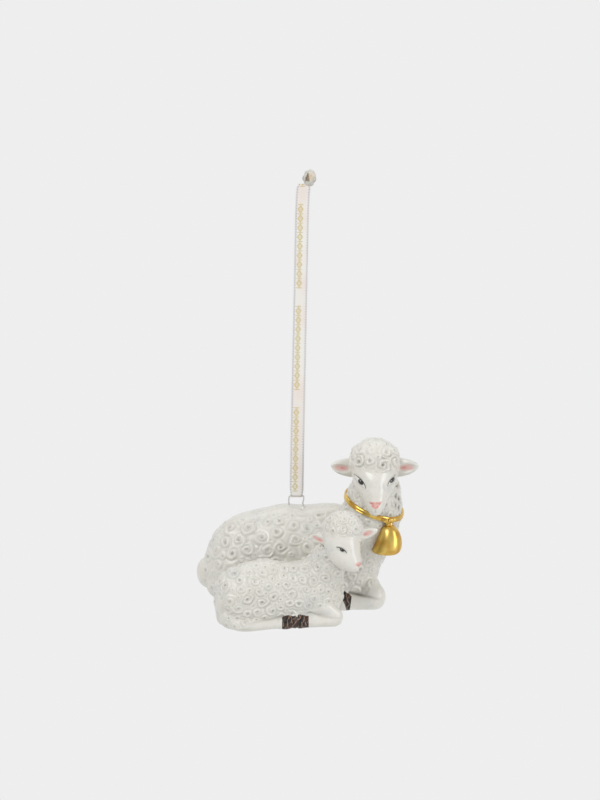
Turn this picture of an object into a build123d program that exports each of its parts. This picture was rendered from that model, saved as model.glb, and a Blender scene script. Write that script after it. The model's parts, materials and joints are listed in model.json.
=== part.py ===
from build123d import *
import math
import os

# A hanging ornament: a glazed ewe and her lamb on a ribbon.
# The figurine is shaped upright on its flat base, with x = 0 and y = 0 at the middle of the ewe's back.
# It is then tipped about the crown of the wire loop into the attitude in which it hangs.
# The finished part has its origin in the ribbon's knot, +Z up and +X towards the ewe's head.

# Ewe
ewe_length = 80.0
ewe_width = 37.0
ewe_height = 43.0
ewe_head_width = 21.0
ewe_head_height = 29.0
ewe_ear_length = 10.7
ewe_ear_height = 8.8
ewe_ear_thickness = 3.6
ewe_tail_height = 13.6
ewe_leg_thickness = 8.4
ewe_hoof_length = 7.5

# Lamb
lamb_length = 54.0
lamb_width = 24.0
lamb_height = 28.5
lamb_turn = 10.5
lamb_head_width = 17.0
lamb_ear_length = 8.8
lamb_ear_height = 5.2
lamb_ear_thickness = 2.8
lamb_tail_height = 17.0
lamb_leg_thickness = 6.0
lamb_hoof_length = 5.0
hoof_gap = 0.3

# Castings
ewe_wall = 3.4
lamb_wall = 2.2
vent_diameter = 3.4
throat_diameter = 7.0

# Collar and bell
collar_width = 2.2
collar_thickness = 0.9
collar_droop = 8.0
collar_roll = 19.0
collar_drop = 1.1
collar_knot_size = 3.0
collar_knot_turn = 28.0
bell_height = 12.4
bell_diameter = 12.4
bell_dish = 1.6
bell_lean = 4.0

# Wire loop
wire_diameter = 0.65
loop_width = 7.4
loop_rise = 4.8
loop_forward = 2.2
loop_feet = 6.0
loop_corner_radius = 0.7
loop_bend_radius = 1.0
wire_depth = 6.4
wire_splay = 1.7
wire_hole_clearance = 0.05

# Ribbon
ribbon_width = 6.0
ribbon_thickness = 0.3
ribbon_drop = 138.0
ribbon_lean = 2.6
ribbon_knot_offset = 5.6
fold_width = 5.2
fold_clearance = 0.05
strand_clearance = 0.02
strand_flare = 3.0
strand_gather = 4.5
strand_throat = 3.4
ribbon_knot_width = 6.1
ribbon_knot_depth = 5.2
ribbon_knot_height = 7.4

# Attitude in which it hangs
hang_tilt = 14.8

ewe_size = Vector(ewe_length, ewe_width, ewe_height)
lamb_size = Vector(lamb_length, lamb_width, lamb_height)
ewe_head_size = Vector(ewe_head_width, ewe_head_width, ewe_head_height)
lamb_head_size = Vector(lamb_head_width, lamb_head_width, lamb_head_width)
across_x = Vector(1, 0, 0)
across_y = Vector(0, 1, 0)
upright = Vector(0, 0, 1)
midway_share = 0.5


def spot(shares, size, start=Vector(0, 0, 0)):
    """A point given as shares of a form's length, width and height."""
    along, aside, up = shares
    return start + Vector(along * size.X, aside * size.Y, up * size.Z)


def stations(shares, size, side_size, other_size, start=Vector(0, 0, 0)):
    """The centres and half widths of a form's cross sections, in real sizes."""
    return [
        (spot(row[:3], size, start), row[3] * side_size, row[4] * other_size)
        for row in shares
    ]


def halfway(one, other):
    return one + (other - one) * midway_share


def directions(centres):
    """The way that a row of centres runs at each of them."""
    last = len(centres) - 1
    return [
        (centres[min(k + 1, last)] - centres[max(k - 1, 0)]).normalized()
        for k in range(len(centres))
    ]


def oval(centre, way, side, half_side, half_other):
    """An elliptical outline square to way, made of four arcs."""
    across = (side - way * side.dot(way)).normalized()
    plane = Plane(origin=centre, x_dir=across, z_dir=way)
    quarters = (0, 90, 180, 270)
    return Wire([
        Edge.make_ellipse(half_side, half_other, plane, start_angle=turn, end_angle=turn + 90)
        for turn in quarters
    ])


def form(rows, side, start=None, end=None, grow=0.0):
    """A rounded form lofted through oval cross sections, closed at its tips."""
    ways = directions([row[0] for row in rows])
    outline = [
        oval(centre, way, side, half_side + grow, half_other + grow)
        for (centre, half_side, half_other), way in zip(rows, ways)
    ]
    if start is not None:
        outline = [Vertex(*start)] + outline
    if end is not None:
        outline = outline + [Vertex(*end)]
    return Solid.make_loft(outline)


def egg(centre, half_x, half_y, half_z, seam=0):
    """An ellipsoid, its seam turned by seam degrees from +X to where nothing crosses it."""
    ball = Rot(0, 0, seam) * Sphere(1)
    return Pos(*centre) * scale(ball, by=(half_x, half_y, half_z))


def post(centre, diameter, low, high):
    """An upright round cutter through a point, from one height to another."""
    middle = Vector(centre.X, centre.Y, (low + high) / 2)
    return Pos(*middle) * Cylinder(diameter / 2, high - low)


def bore(low, high, diameter):
    """A round cutter that runs from one point to another."""
    run = high - low
    plane = Plane(origin=halfway(low, high), z_dir=run.normalized())
    return plane.location * Cylinder(diameter / 2, run.length)


def cut(piece, *tools):
    for tool in tools:
        piece = piece - tool
    return piece


# Everything of the figurine is cut flat at the base, and hollow castings keep a floor.
reach = ewe_length + lamb_length
above_base = Pos(0, 0, reach / 2) * Box(2 * reach, 2 * reach, reach)
above_ewe_floor = Pos(0, 0, ewe_wall) * above_base
above_lamb_floor = Pos(0, 0, lamb_wall) * above_base

# Ewe: torso and neck, one hollow casting
ewe_torso_shares = (
    (-0.480, 0.0, 0.337, 0.265, 0.235),
    (-0.422, 0.0, 0.337, 0.385, 0.385),
    (-0.292, 0.0, 0.360, 0.476, 0.518),
    (-0.164, 0.0, 0.384, 0.500, 0.558),
    (-0.046, 0.0, 0.395, 0.500, 0.593),
    (0.125, 0.0, 0.407, 0.473, 0.581),
    (0.250, 0.0, 0.407, 0.459, 0.558),
    (0.338, 0.0, 0.384, 0.419, 0.442),
    (0.394, 0.0, 0.360, 0.297, 0.291),
)
ewe_rump_tip_share = (-0.512, 0.0, 0.337)
ewe_chest_tip_share = (0.429, 0.0, 0.349)
ewe_neck_shares = (
    (0.250, -0.027, -0.070, 0.106, 0.324),
    (0.288, -0.027, 0.300, 0.155, 0.400),
    (0.344, -0.068, 0.628, 0.160, 0.405),
    (0.394, -0.108, 0.860, 0.165, 0.368),
    (0.418, -0.122, 1.070, 0.155, 0.341),
    (0.434, -0.135, 1.302, 0.118, 0.270),
)
ewe_haunch_share = (-0.250, 0.270, 0.280)
ewe_haunch_half_shares = (0.170, 0.265, 0.300)

torso_rows = stations(ewe_torso_shares, ewe_size, ewe_width, ewe_height)
neck_rows = stations(ewe_neck_shares, ewe_size, ewe_length, ewe_width)
rump_tip = spot(ewe_rump_tip_share, ewe_size)
chest_tip = spot(ewe_chest_tip_share, ewe_size)
haunch_half = spot(ewe_haunch_half_shares, ewe_size)
torso = form(torso_rows, across_y, rump_tip, chest_tip)
neck = form(neck_rows, across_x)
haunch = egg(spot(ewe_haunch_share, ewe_size), haunch_half.X, haunch_half.Y, haunch_half.Z)
torso_hollow = form(torso_rows, across_y, grow=-ewe_wall) & above_ewe_floor
neck_bore_diameter = 2 * (neck_rows[-2][1] - ewe_wall)
neck_hollow = bore(neck_rows[2][0], neck_rows[-2][0], neck_bore_diameter)

loop_crown = Vector(0, -loop_forward, ewe_height + loop_rise)
hole_diameter = wire_diameter + 2 * wire_hole_clearance
ewe_skin = (torso + neck + haunch) & above_base
ewe_body = ewe_skin - torso_hollow - neck_hollow
ewe_body = ewe_body - post(Vector(0, 0, 0), vent_diameter, -ewe_wall, 2 * ewe_wall)
for side in (-1, 1):
    foot = Vector(side * loop_feet / 2, -loop_forward, 0)
    ewe_body = ewe_body - post(foot, hole_diameter, ewe_height / 2, loop_crown.Z)

# Ewe's head: woolly cap and smooth face in one casting, seated on the neck
ewe_head_seat_share = (0.420, -0.135, 1.302)
ewe_cap_share = (0.0, -0.095, 0.276)
ewe_cap_half_shares = (0.500, 0.524, 0.359)
ewe_face_shares = (
    (0.0, -0.143, 0.241, 0.462, 0.452),
    (0.0, -0.357, 0.069, 0.452, 0.410),
    (0.0, -0.538, -0.083, 0.343, 0.333),
    (0.0, -0.695, -0.221, 0.224, 0.229),
    (0.0, -0.790, -0.303, 0.162, 0.157),
)
ewe_chin_share = (0.0, -0.886, -0.379)

head_seat = spot(ewe_head_seat_share, ewe_size)
cap_half = spot(ewe_cap_half_shares, ewe_head_size)
ewe_cap = egg(spot(ewe_cap_share, ewe_head_size, head_seat), cap_half.X, cap_half.Y, cap_half.Z)
face_rows = stations(ewe_face_shares, ewe_head_size, ewe_head_width, ewe_head_width, head_seat)
ewe_face = form(face_rows, across_x, end=spot(ewe_chin_share, ewe_head_size, head_seat))
ewe_head_whole = ewe_cap + ewe_face
ewe_head_hollow = egg(
    spot(ewe_cap_share, ewe_head_size, head_seat),
    cap_half.X - ewe_wall,
    cap_half.Y - ewe_wall,
    cap_half.Z - ewe_wall,
)
ewe_throat = bore(neck_rows[-2][0], spot(ewe_cap_share, ewe_head_size, head_seat), throat_diameter)
ewe_head = cut(ewe_head_whole, ewe_skin, ewe_head_hollow, ewe_throat)
ewe_body = ewe_body - ewe_throat

# Ears: one leaf shape, used for the ewe and mirrored for her other side
ear_root_share = (0.410, -0.071, 0.200)
ear_shares = (
    (-0.150, 0.060, 0.0, 0.420, 0.450),
    (0.0, 0.0, 0.0, 0.500, 0.500),
    (0.336, -0.140, 0.056, 0.472, 0.500),
    (0.654, -0.252, 0.112, 0.364, 0.420),
    (0.850, -0.310, 0.159, 0.216, 0.280),
)
ear_tip_share = (1.0, -0.355, 0.206)


def ear(root, length, height, thickness):
    """A leaf-shaped ear that points along +X from its root."""
    size = Vector(length, length, length)
    rows = stations(ear_shares, size, height, thickness, root)
    return form(rows, upright, end=spot(ear_tip_share, size, root))


ear_offset = spot(ear_root_share, ewe_head_size)
right_ear = ear(ear_offset, ewe_ear_length, ewe_ear_height, ewe_ear_thickness)
at_head = Pos(*head_seat)
ewe_ear_right = cut(at_head * right_ear, ewe_head_whole, ewe_skin)
ewe_ear_left = cut(at_head * mirror(right_ear, about=Plane.YZ), ewe_head_whole, ewe_skin)

# Ewe's tail
tail_share = (-0.492, -0.080, 0.312)
tail_half_length_share = 0.300
tail_half_width_share = 0.340
ewe_tail = egg(
    spot(tail_share, ewe_size),
    tail_half_length_share * ewe_tail_height,
    tail_half_width_share * ewe_tail_height,
    ewe_tail_height / 2,
    seam=180,
)
ewe_tail = cut(ewe_tail, ewe_skin) & above_base

# Ewe's legs: a folded foreleg is a forearm, a knee and a cannon that runs back to the hoof
forearm_shares = (
    (0.320, -0.120, 0.380, 0.600, 0.600),
    (0.375, -0.250, 0.260, 0.620, 0.620),
    (0.412, -0.340, 0.160, 0.580, 0.580),
)
knee_share = (0.418, -0.357, 0.128)
knee_half_shares = (0.640, 0.570, 0.730)
cannon_shares = (
    (0.425, -0.378, 0.090, 0.500, 0.500),
    (0.360, -0.385, 0.088, 0.470, 0.470),
    (0.297, -0.395, 0.084, 0.430, 0.440),
)
far_leg_set_back_share = 0.06
hoof_flare_shares = (
    (0.0, 0.430, 0.440),
    (0.350, 0.500, 0.520),
    (0.750, 0.470, 0.480),
    (0.950, 0.330, 0.340),
)
hoof_lift_share = 0.10


def hoof(start, way, side, thickness, length):
    """A hoof that swells from the leg's end and closes to a blunt toe."""
    rows = []
    for run, half_side, half_other in hoof_flare_shares:
        lift = hoof_lift_share * run * thickness
        centre = start + way * (run * length) + Vector(0, 0, lift)
        rows.append((centre, half_side * thickness, half_other * thickness))
    toe = start + way * length + Vector(0, 0, hoof_lift_share * thickness)
    return form(rows, side, end=toe)


ewe_leg_size = ewe_leg_thickness
forearm = form(stations(forearm_shares, ewe_size, ewe_leg_size, ewe_leg_size), across_x)
knee_half = Vector(*knee_half_shares) * ewe_leg_size
knee = egg(spot(knee_share, ewe_size), knee_half.X, knee_half.Y, knee_half.Z)
cannon_rows = stations(cannon_shares, ewe_size, ewe_leg_size, ewe_leg_size)
cannon = form(cannon_rows, across_y)
fetlock = cannon_rows[-1][0]
cannon_way = directions([row[0] for row in cannon_rows])[-1]
foreleg_whole = (forearm + knee + cannon) & above_base
fore_hoof_whole = hoof(fetlock, cannon_way, across_y, ewe_leg_size, ewe_hoof_length) & above_base
ewe_foreleg_near = cut(foreleg_whole, ewe_skin)
far_leg_set_back = Pos(-far_leg_set_back_share * ewe_length, 0, 0)
ewe_foreleg_far = far_leg_set_back * mirror(foreleg_whole, about=Plane.XZ)
ewe_hoof_far = far_leg_set_back * mirror(fore_hoof_whole, about=Plane.XZ)
ewe_foreleg_far = cut(ewe_foreleg_far, ewe_skin)
ewe_hoof_far = cut(ewe_hoof_far, ewe_skin, ewe_foreleg_far)

hind_shares = (
    (-0.330, 0.400, 0.110, 0.420, 0.460),
    (-0.250, 0.440, 0.095, 0.480, 0.500),
    (-0.130, 0.455, 0.088, 0.440, 0.470),
)
hind_heel_share = (-0.365, 0.385, 0.110)
hind_rows = stations(hind_shares, ewe_size, ewe_leg_size, ewe_leg_size)
hindleg = form(hind_rows, across_y, start=spot(hind_heel_share, ewe_size)) & above_base
hind_way = directions([row[0] for row in hind_rows])[-1]
hind_hoof = hoof(hind_rows[-1][0], hind_way, across_y, ewe_leg_size, ewe_hoof_length) & above_base
ewe_hindleg_far = cut(hindleg, ewe_skin)
ewe_hind_hoof_far = cut(hind_hoof, ewe_skin, ewe_hindleg_far)

# Lamb: it lies along the ewe's near side, its rump turned out. Its forms are laid out along its own X.
lamb_place_share = (-0.075, -0.5, 0.0)
lamb_beside_share = (0.0, -0.4995, 0.0)
lamb_middle = spot(lamb_beside_share, lamb_size, spot(lamb_place_share, ewe_size))
lamb_at = Pos(*lamb_middle) * Rot(0, 0, lamb_turn)
lamb_torso_shares = (
    (-0.478, 0.0, 0.340, 0.260, 0.240),
    (-0.430, 0.0, 0.395, 0.420, 0.400),
    (-0.278, 0.0, 0.438, 0.492, 0.502),
    (-0.130, 0.0, 0.456, 0.496, 0.537),
    (0.055, 0.0, 0.438, 0.458, 0.488),
    (0.240, 0.0, 0.438, 0.479, 0.519),
    (0.370, 0.0, 0.421, 0.417, 0.421),
    (0.440, 0.0, 0.386, 0.290, 0.290),
)
lamb_rump_tip_share = (-0.505, 0.0, 0.320)
lamb_chest_tip_share = (0.485, 0.0, 0.370)
lamb_neck_shares = (
    (0.265, -0.020, 0.500, 0.180, 0.400),
    (0.300, -0.050, 0.680, 0.172, 0.390),
    (0.345, -0.100, 0.880, 0.157, 0.365),
    (0.407, -0.190, 1.160, 0.133, 0.312),
)

lamb_torso_rows = stations(lamb_torso_shares, lamb_size, lamb_width, lamb_height)
lamb_neck_rows = stations(lamb_neck_shares, lamb_size, lamb_length, lamb_width)
lamb_torso = form(
    lamb_torso_rows,
    across_y,
    spot(lamb_rump_tip_share, lamb_size),
    spot(lamb_chest_tip_share, lamb_size),
)
lamb_neck = form(lamb_neck_rows, across_x)
lamb_hollow = form(lamb_torso_rows[1:-1], across_y, grow=-lamb_wall) & above_lamb_floor
lamb_skin = (lamb_at * (lamb_torso + lamb_neck)) & above_base
lamb_body = cut(lamb_skin, ewe_skin, lamb_at * lamb_hollow)
lamb_body = lamb_body - post(lamb_middle, vent_diameter, -lamb_wall, 2 * lamb_wall)
lamb_bore_start_share = (0.290, -0.040, 0.500)

# Lamb's head, in the lamb's own directions, seated on its neck
lamb_head_seat = lamb_neck_rows[-1][0]
lamb_cap_share = (0.165, -0.110, 0.470)
lamb_cap_half_shares = (0.506, 0.500, 0.506)
lamb_face_shares = (
    (0.153, -0.100, 0.360, 0.460, 0.460),
    (0.130, -0.231, 0.176, 0.465, 0.460),
    (0.182, -0.420, -0.030, 0.410, 0.400),
    (0.288, -0.607, -0.188, 0.290, 0.280),
    (0.376, -0.725, -0.276, 0.185, 0.175),
)
lamb_chin_share = (0.418, -0.806, -0.345)

lamb_cap_half = Vector(*lamb_cap_half_shares) * lamb_head_width
lamb_cap_spot = spot(lamb_cap_share, lamb_head_size, lamb_head_seat)
lamb_cap = egg(lamb_cap_spot, lamb_cap_half.X, lamb_cap_half.Y, lamb_cap_half.Z)
lamb_face_rows = stations(
    lamb_face_shares, lamb_head_size, lamb_head_width, lamb_head_width, lamb_head_seat
)
lamb_face = form(
    lamb_face_rows, across_x, end=spot(lamb_chin_share, lamb_head_size, lamb_head_seat)
)
lamb_head_whole = lamb_at * (lamb_cap + lamb_face)
lamb_head_hollow = egg(
    lamb_cap_spot,
    lamb_cap_half.X - lamb_wall,
    lamb_cap_half.Y - lamb_wall,
    lamb_cap_half.Z - lamb_wall,
)
lamb_throat = bore(spot(lamb_bore_start_share, lamb_size), lamb_cap_spot, throat_diameter)
lamb_head = cut(lamb_head_whole, lamb_skin, ewe_skin, lamb_at * lamb_head_hollow, lamb_at * lamb_throat)
lamb_body = lamb_body - lamb_at * lamb_throat

# Lamb's ears: each has its own way out of the head
lamb_ear_left_root_share = (-0.200, -0.160, 0.215)
lamb_ear_right_root_share = (0.520, -0.260, 0.380)
lamb_ear_left_turn = (0, 0, 150)
lamb_ear_right_turn = (0, -6, 14)


def lamb_ear(root_share, turn):
    root = spot(root_share, lamb_head_size, lamb_head_seat)
    leaf = ear(Vector(0, 0, 0), lamb_ear_length, lamb_ear_height, lamb_ear_thickness)
    return lamb_at * (Pos(*root) * Rot(*turn) * leaf)


lamb_ear_left = cut(lamb_ear(lamb_ear_left_root_share, lamb_ear_left_turn), lamb_head_whole, lamb_skin)
lamb_ear_right = cut(lamb_ear(lamb_ear_right_root_share, lamb_ear_right_turn), lamb_head_whole, ewe_skin)

# Lamb's tail and legs, along its front edge
lamb_tail_share = (-0.500, -0.125, 0.350)
lamb_tail_half_length_share = 0.155
lamb_tail_half_width_share = 0.200
lamb_tail = egg(
    spot(lamb_tail_share, lamb_size),
    lamb_tail_half_length_share * lamb_tail_height,
    lamb_tail_half_width_share * lamb_tail_height,
    lamb_tail_height / 2,
    seam=180,
)
lamb_tail = cut(lamb_at * lamb_tail, lamb_skin) & above_base

lamb_leg_line_share = -0.400
lamb_leg_rise_share = 0.098
lamb_hoofs_meet_share = 0.054
lamb_forearm_shares = (
    (0.220, -0.330, 0.400, 0.560, 0.560),
    (0.310, -0.370, 0.290, 0.550, 0.550),
    (0.375, -0.395, 0.200, 0.520, 0.520),
)
lamb_knee_half_shares = (0.560, 0.520, 0.680)
lamb_knee_share = (0.393, -0.400, 0.145)
lamb_heel_share = (-0.435, -0.360, 0.105)

meet = spot((lamb_hoofs_meet_share, lamb_leg_line_share, lamb_leg_rise_share), lamb_size)
knee_spot = spot(lamb_knee_share, lamb_size)
heel_spot = spot(lamb_heel_share, lamb_size)
toe_gap = Vector(hoof_gap / 2, 0, 0)
hoof_run = Vector(lamb_hoof_length, 0, 0)
heel_run = hoof_run * midway_share
half_leg = lamb_leg_thickness / 2
slim_leg_share = 0.92
ankle_share = 0.44

lamb_forearm_rows = stations(
    lamb_forearm_shares, lamb_size, lamb_leg_thickness, lamb_leg_thickness
)
lamb_knee_half = Vector(*lamb_knee_half_shares) * lamb_leg_thickness
lamb_knee = egg(knee_spot, lamb_knee_half.X, lamb_knee_half.Y, lamb_knee_half.Z)
fore_ankle = meet + toe_gap + hoof_run
hind_ankle = meet - toe_gap - hoof_run
cannon_top = Vector(knee_spot.X, meet.Y, meet.Z)
lamb_cannon = form(
    [
        (cannon_top, half_leg, half_leg),
        (halfway(cannon_top, fore_ankle), slim_leg_share * half_leg, slim_leg_share * half_leg),
        (fore_ankle, ankle_share * lamb_leg_thickness, ankle_share * lamb_leg_thickness),
    ],
    across_y,
)
lamb_shank = form(
    [
        (heel_spot + heel_run, slim_leg_share * half_leg, slim_leg_share * half_leg),
        (halfway(heel_spot, hind_ankle), half_leg, half_leg),
        (hind_ankle, ankle_share * lamb_leg_thickness, ankle_share * lamb_leg_thickness),
    ],
    across_y,
    start=heel_spot - heel_run,
)


def lamb_hoof(ankle, way):
    return hoof(ankle, way, across_y, lamb_leg_thickness, lamb_hoof_length)


foreleg_of_lamb = lamb_at * (form(lamb_forearm_rows, across_x) + lamb_knee + lamb_cannon)
lamb_foreleg = cut(foreleg_of_lamb, lamb_skin) & above_base
lamb_hindleg = cut(lamb_at * lamb_shank, lamb_skin, lamb_tail) & above_base
fore_hoof_of_lamb = lamb_at * lamb_hoof(fore_ankle, across_x * -1)
hind_hoof_of_lamb = lamb_at * lamb_hoof(hind_ankle, across_x)
lamb_fore_hoof = cut(fore_hoof_of_lamb, lamb_skin, lamb_foreleg) & above_base
lamb_hind_hoof = cut(hind_hoof_of_lamb, lamb_skin, lamb_hindleg, lamb_fore_hoof) & above_base
ewe_foreleg_near = cut(ewe_foreleg_near, lamb_skin, foreleg_of_lamb)
ewe_hoof_near = cut(fore_hoof_whole, ewe_skin, ewe_foreleg_near, lamb_skin, foreleg_of_lamb)

# Collar: a band that hugs the neck between two slanting planes, with its knot and bell at the front
neck_middle, neck_half_x, neck_half_y = neck_rows[4]
collar_centre = neck_middle - Vector(0, 0, collar_drop)
collar_slope = Vector(math.tan(math.radians(collar_roll)), -math.tan(math.radians(collar_droop)), 1)
collar_normal = collar_slope.normalized()
collar_plane = Plane(origin=collar_centre, z_dir=collar_normal)
collar_slab = collar_plane.location * Box(reach, reach, collar_width)
collar = cut(form(neck_rows, across_x, grow=collar_thickness) & collar_slab, ewe_skin)

knot_angle = math.radians(collar_knot_turn)
knot_x = (neck_half_x + collar_thickness) * math.sin(knot_angle)
knot_y = -(neck_half_y + collar_thickness) * math.cos(knot_angle)
knot_drop = -(collar_slope.X * knot_x + collar_slope.Y * knot_y)
knot_spot_of_collar = collar_centre + Vector(knot_x, knot_y, knot_drop)
collar_knot_half = collar_knot_size / 2
collar_knot = Pos(*knot_spot_of_collar) * Sphere(collar_knot_half)
collar_knot = cut(collar_knot, ewe_skin, collar)

bell_profile_shares = (
    (0.140, 0.0),
    (0.290, -0.150),
    (0.375, -0.340),
    (0.450, -0.640),
    (0.500, -0.930),
)
bell_lip_share = (0.485, -1.0)
bell_mouth_share = 0.420
bell_seat_share = 0.62


def bell_point(across_share, up_share):
    return (across_share * bell_diameter, 0, up_share * bell_height)


bell_dome = Spline(*[bell_point(*share) for share in bell_profile_shares + (bell_lip_share,)])
bell_top = (0, 0, 0)
bell_rim = bell_point(bell_mouth_share, -1.0)
bell_middle = (0, 0, bell_dish - bell_height)
bell_outline = Wire([
    Line(bell_top, bell_point(*bell_profile_shares[0])),
    bell_dome,
    Line(bell_point(*bell_lip_share), bell_rim),
    Line(bell_rim, bell_middle),
    Line(bell_middle, bell_top),
])
bell_turned = revolve(Face(bell_outline), Axis.Z)
bell_hang = knot_spot_of_collar - Vector(0, 0, bell_seat_share * collar_knot_half)
bell = Pos(*bell_hang) * Rot(0, bell_lean, 0) * bell_turned
bell = cut(bell, ewe_skin, collar, collar_knot, lamb_head_whole)

# Wire loop: a straight crown for the ribbon, sides that draw in to two holes, ends splayed inside
half_loop = (loop_width - wire_diameter) / 2
half_feet = loop_feet / 2
waist_share = 0.56
foot_level = loop_rise - wire_diameter / 2
side_points = [
    (half_feet + wire_splay, -(loop_rise + wire_depth)),
    (half_feet, -(loop_rise + wire_depth - wire_splay)),
    (half_feet, -foot_level),
    (half_loop, -waist_share * foot_level),
    (half_loop, 0),
]
loop_points = [(-x, z) for x, z in side_points] + list(reversed(side_points))
bends = [loop_bend_radius] * 3 + [loop_corner_radius] * 2 + [loop_bend_radius] * 3
loop_path = FilletPolyline(
    *[loop_crown + Vector(x, 0, z) for x, z in loop_points], radius=bends
)
wire_start = Plane(origin=loop_path @ 0, z_dir=loop_path % 0)
hanger_wire = sweep(wire_start * Circle(wire_diameter / 2), path=loop_path)

# Hanging attitude: the figurine tips about the loop's crown, which hangs below the ribbon's knot
crown_place = Vector(-ribbon_knot_offset, 0, -ribbon_drop)
hang = (
    Pos(*crown_place)
    * Rot(hang_tilt, 0, 0)
    * Pos(*(loop_crown * -1))
)

# Ribbon: two strands that lie flat together, one fold round the wire and the knot above
fold_inner = wire_diameter / 2 + fold_clearance
fold_outer = fold_inner + ribbon_thickness
fold_ring = Cylinder(fold_outer, fold_width) - Cylinder(fold_inner, fold_width)
fold_below = Pos(0, 0, -fold_outer / 2) * Box(fold_width, 2 * fold_outer, fold_outer)
ribbon_fold = (Rot(0, 90, 0) * fold_ring) & fold_below
ribbon_fold = Pos(*crown_place) * ribbon_fold

knot_half_x = ribbon_knot_width / 2
knot_half_z = ribbon_knot_height / 2
ribbon_knot = egg(Vector(0, 0, 0), knot_half_x, ribbon_knot_depth / 2, knot_half_z)
strand_top = -strand_gather
throat_height = -knot_half_z / 2
gather_x = ribbon_lean - ribbon_knot_offset
throat_x = gather_x / 2


def strand(side):
    """One strand, from the fold up into the knot; side is -1 in front and 1 behind."""
    middle_low = side * (fold_inner + ribbon_thickness / 2)
    middle_high = side * (strand_clearance + ribbon_thickness / 2)
    low = crown_place.Z
    levels = (
        (crown_place.X, middle_low, low, fold_width),
        (crown_place.X, middle_low, low + strand_flare, ribbon_width),
        (gather_x, middle_high, strand_top, ribbon_width),
        (throat_x, middle_high, throat_height, strand_throat),
    )
    outline = [
        Pos(x, y, z) * Rectangle(width, ribbon_thickness)
        for x, y, z, width in levels
    ]
    return loft(outline, ruled=True) - ribbon_knot


ribbon_front = strand(-1)
ribbon_back = strand(1)

figurine = {
    "ewe_body": ewe_body,
    "ewe_head": ewe_head,
    "ewe_ear_left": ewe_ear_left,
    "ewe_ear_right": ewe_ear_right,
    "ewe_tail": ewe_tail,
    "ewe_foreleg_near": ewe_foreleg_near,
    "ewe_hoof_near": ewe_hoof_near,
    "ewe_foreleg_far": ewe_foreleg_far,
    "ewe_hoof_far": ewe_hoof_far,
    "ewe_hindleg_far": ewe_hindleg_far,
    "ewe_hind_hoof_far": ewe_hind_hoof_far,
    "lamb_body": lamb_body,
    "lamb_head": lamb_head,
    "lamb_ear_left": lamb_ear_left,
    "lamb_ear_right": lamb_ear_right,
    "lamb_tail": lamb_tail,
    "lamb_foreleg": lamb_foreleg,
    "lamb_fore_hoof": lamb_fore_hoof,
    "lamb_hindleg": lamb_hindleg,
    "lamb_hind_hoof": lamb_hind_hoof,
    "collar": collar,
    "collar_knot": collar_knot,
    "bell": bell,
    "hanger_wire": hanger_wire,
}
ribbon = {
    "ribbon_front": ribbon_front,
    "ribbon_back": ribbon_back,
    "ribbon_fold": ribbon_fold,
    "ribbon_knot": ribbon_knot,
}
pieces = {name: hang * piece for name, piece in figurine.items()} | ribbon

os.makedirs("parts", exist_ok=True)
for name, piece in pieces.items():
    export_step(piece, "parts/" + name + ".step")

wire_length = loop_path.length
wire_section = math.pi * (wire_diameter / 2) ** 2
print("wire volume over section times length:", hanger_wire.volume / (wire_section * wire_length))
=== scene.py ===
import json
import math

import bmesh
import bpy
import numpy as np
from mathutils import Euler, Matrix, Vector, noise
from mathutils.bvhtree import BVHTree


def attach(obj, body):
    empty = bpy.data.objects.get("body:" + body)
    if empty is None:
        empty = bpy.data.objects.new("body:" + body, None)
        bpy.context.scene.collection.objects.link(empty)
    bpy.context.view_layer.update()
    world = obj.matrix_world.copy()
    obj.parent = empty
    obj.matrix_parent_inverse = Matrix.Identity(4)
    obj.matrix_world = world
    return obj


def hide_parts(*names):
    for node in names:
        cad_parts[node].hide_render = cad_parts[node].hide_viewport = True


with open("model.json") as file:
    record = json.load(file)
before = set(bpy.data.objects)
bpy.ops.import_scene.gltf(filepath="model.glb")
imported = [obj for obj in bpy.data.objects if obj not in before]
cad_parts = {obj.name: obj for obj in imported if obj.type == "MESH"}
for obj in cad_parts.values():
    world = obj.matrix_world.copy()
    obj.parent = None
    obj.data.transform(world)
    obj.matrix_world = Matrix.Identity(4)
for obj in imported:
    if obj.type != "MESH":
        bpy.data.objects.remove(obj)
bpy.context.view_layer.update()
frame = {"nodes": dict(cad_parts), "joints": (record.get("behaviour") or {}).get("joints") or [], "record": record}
nodes = frame["nodes"]
record = frame["record"]
print("frame loaded, nodes:", len(nodes))

# The figurine is shaped upright in millimetres and then tipped into the attitude in which it hangs
mm = 0.001
baseSpot = Vector((10.0, 0.0, 0.0))  # the base mount's place on the upright figurine
base = next(mount for mount in record["mounts"] if mount["name"] == "base")
tilt = math.atan2(base["axis"][1], -base["axis"][2])
hang = (
    Matrix.Translation(base["pos_m"])
    @ Matrix.Rotation(tilt, 4, "X")
    @ Matrix.Scale(mm, 4)
    @ Matrix.Translation(-baseSpot)
)
upright = hang.inverted()
crown = Vector(frame["joints"][0]["pos_m"])
fine = 1.0
dice = np.random.default_rng(11)


# Shader writing

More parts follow.
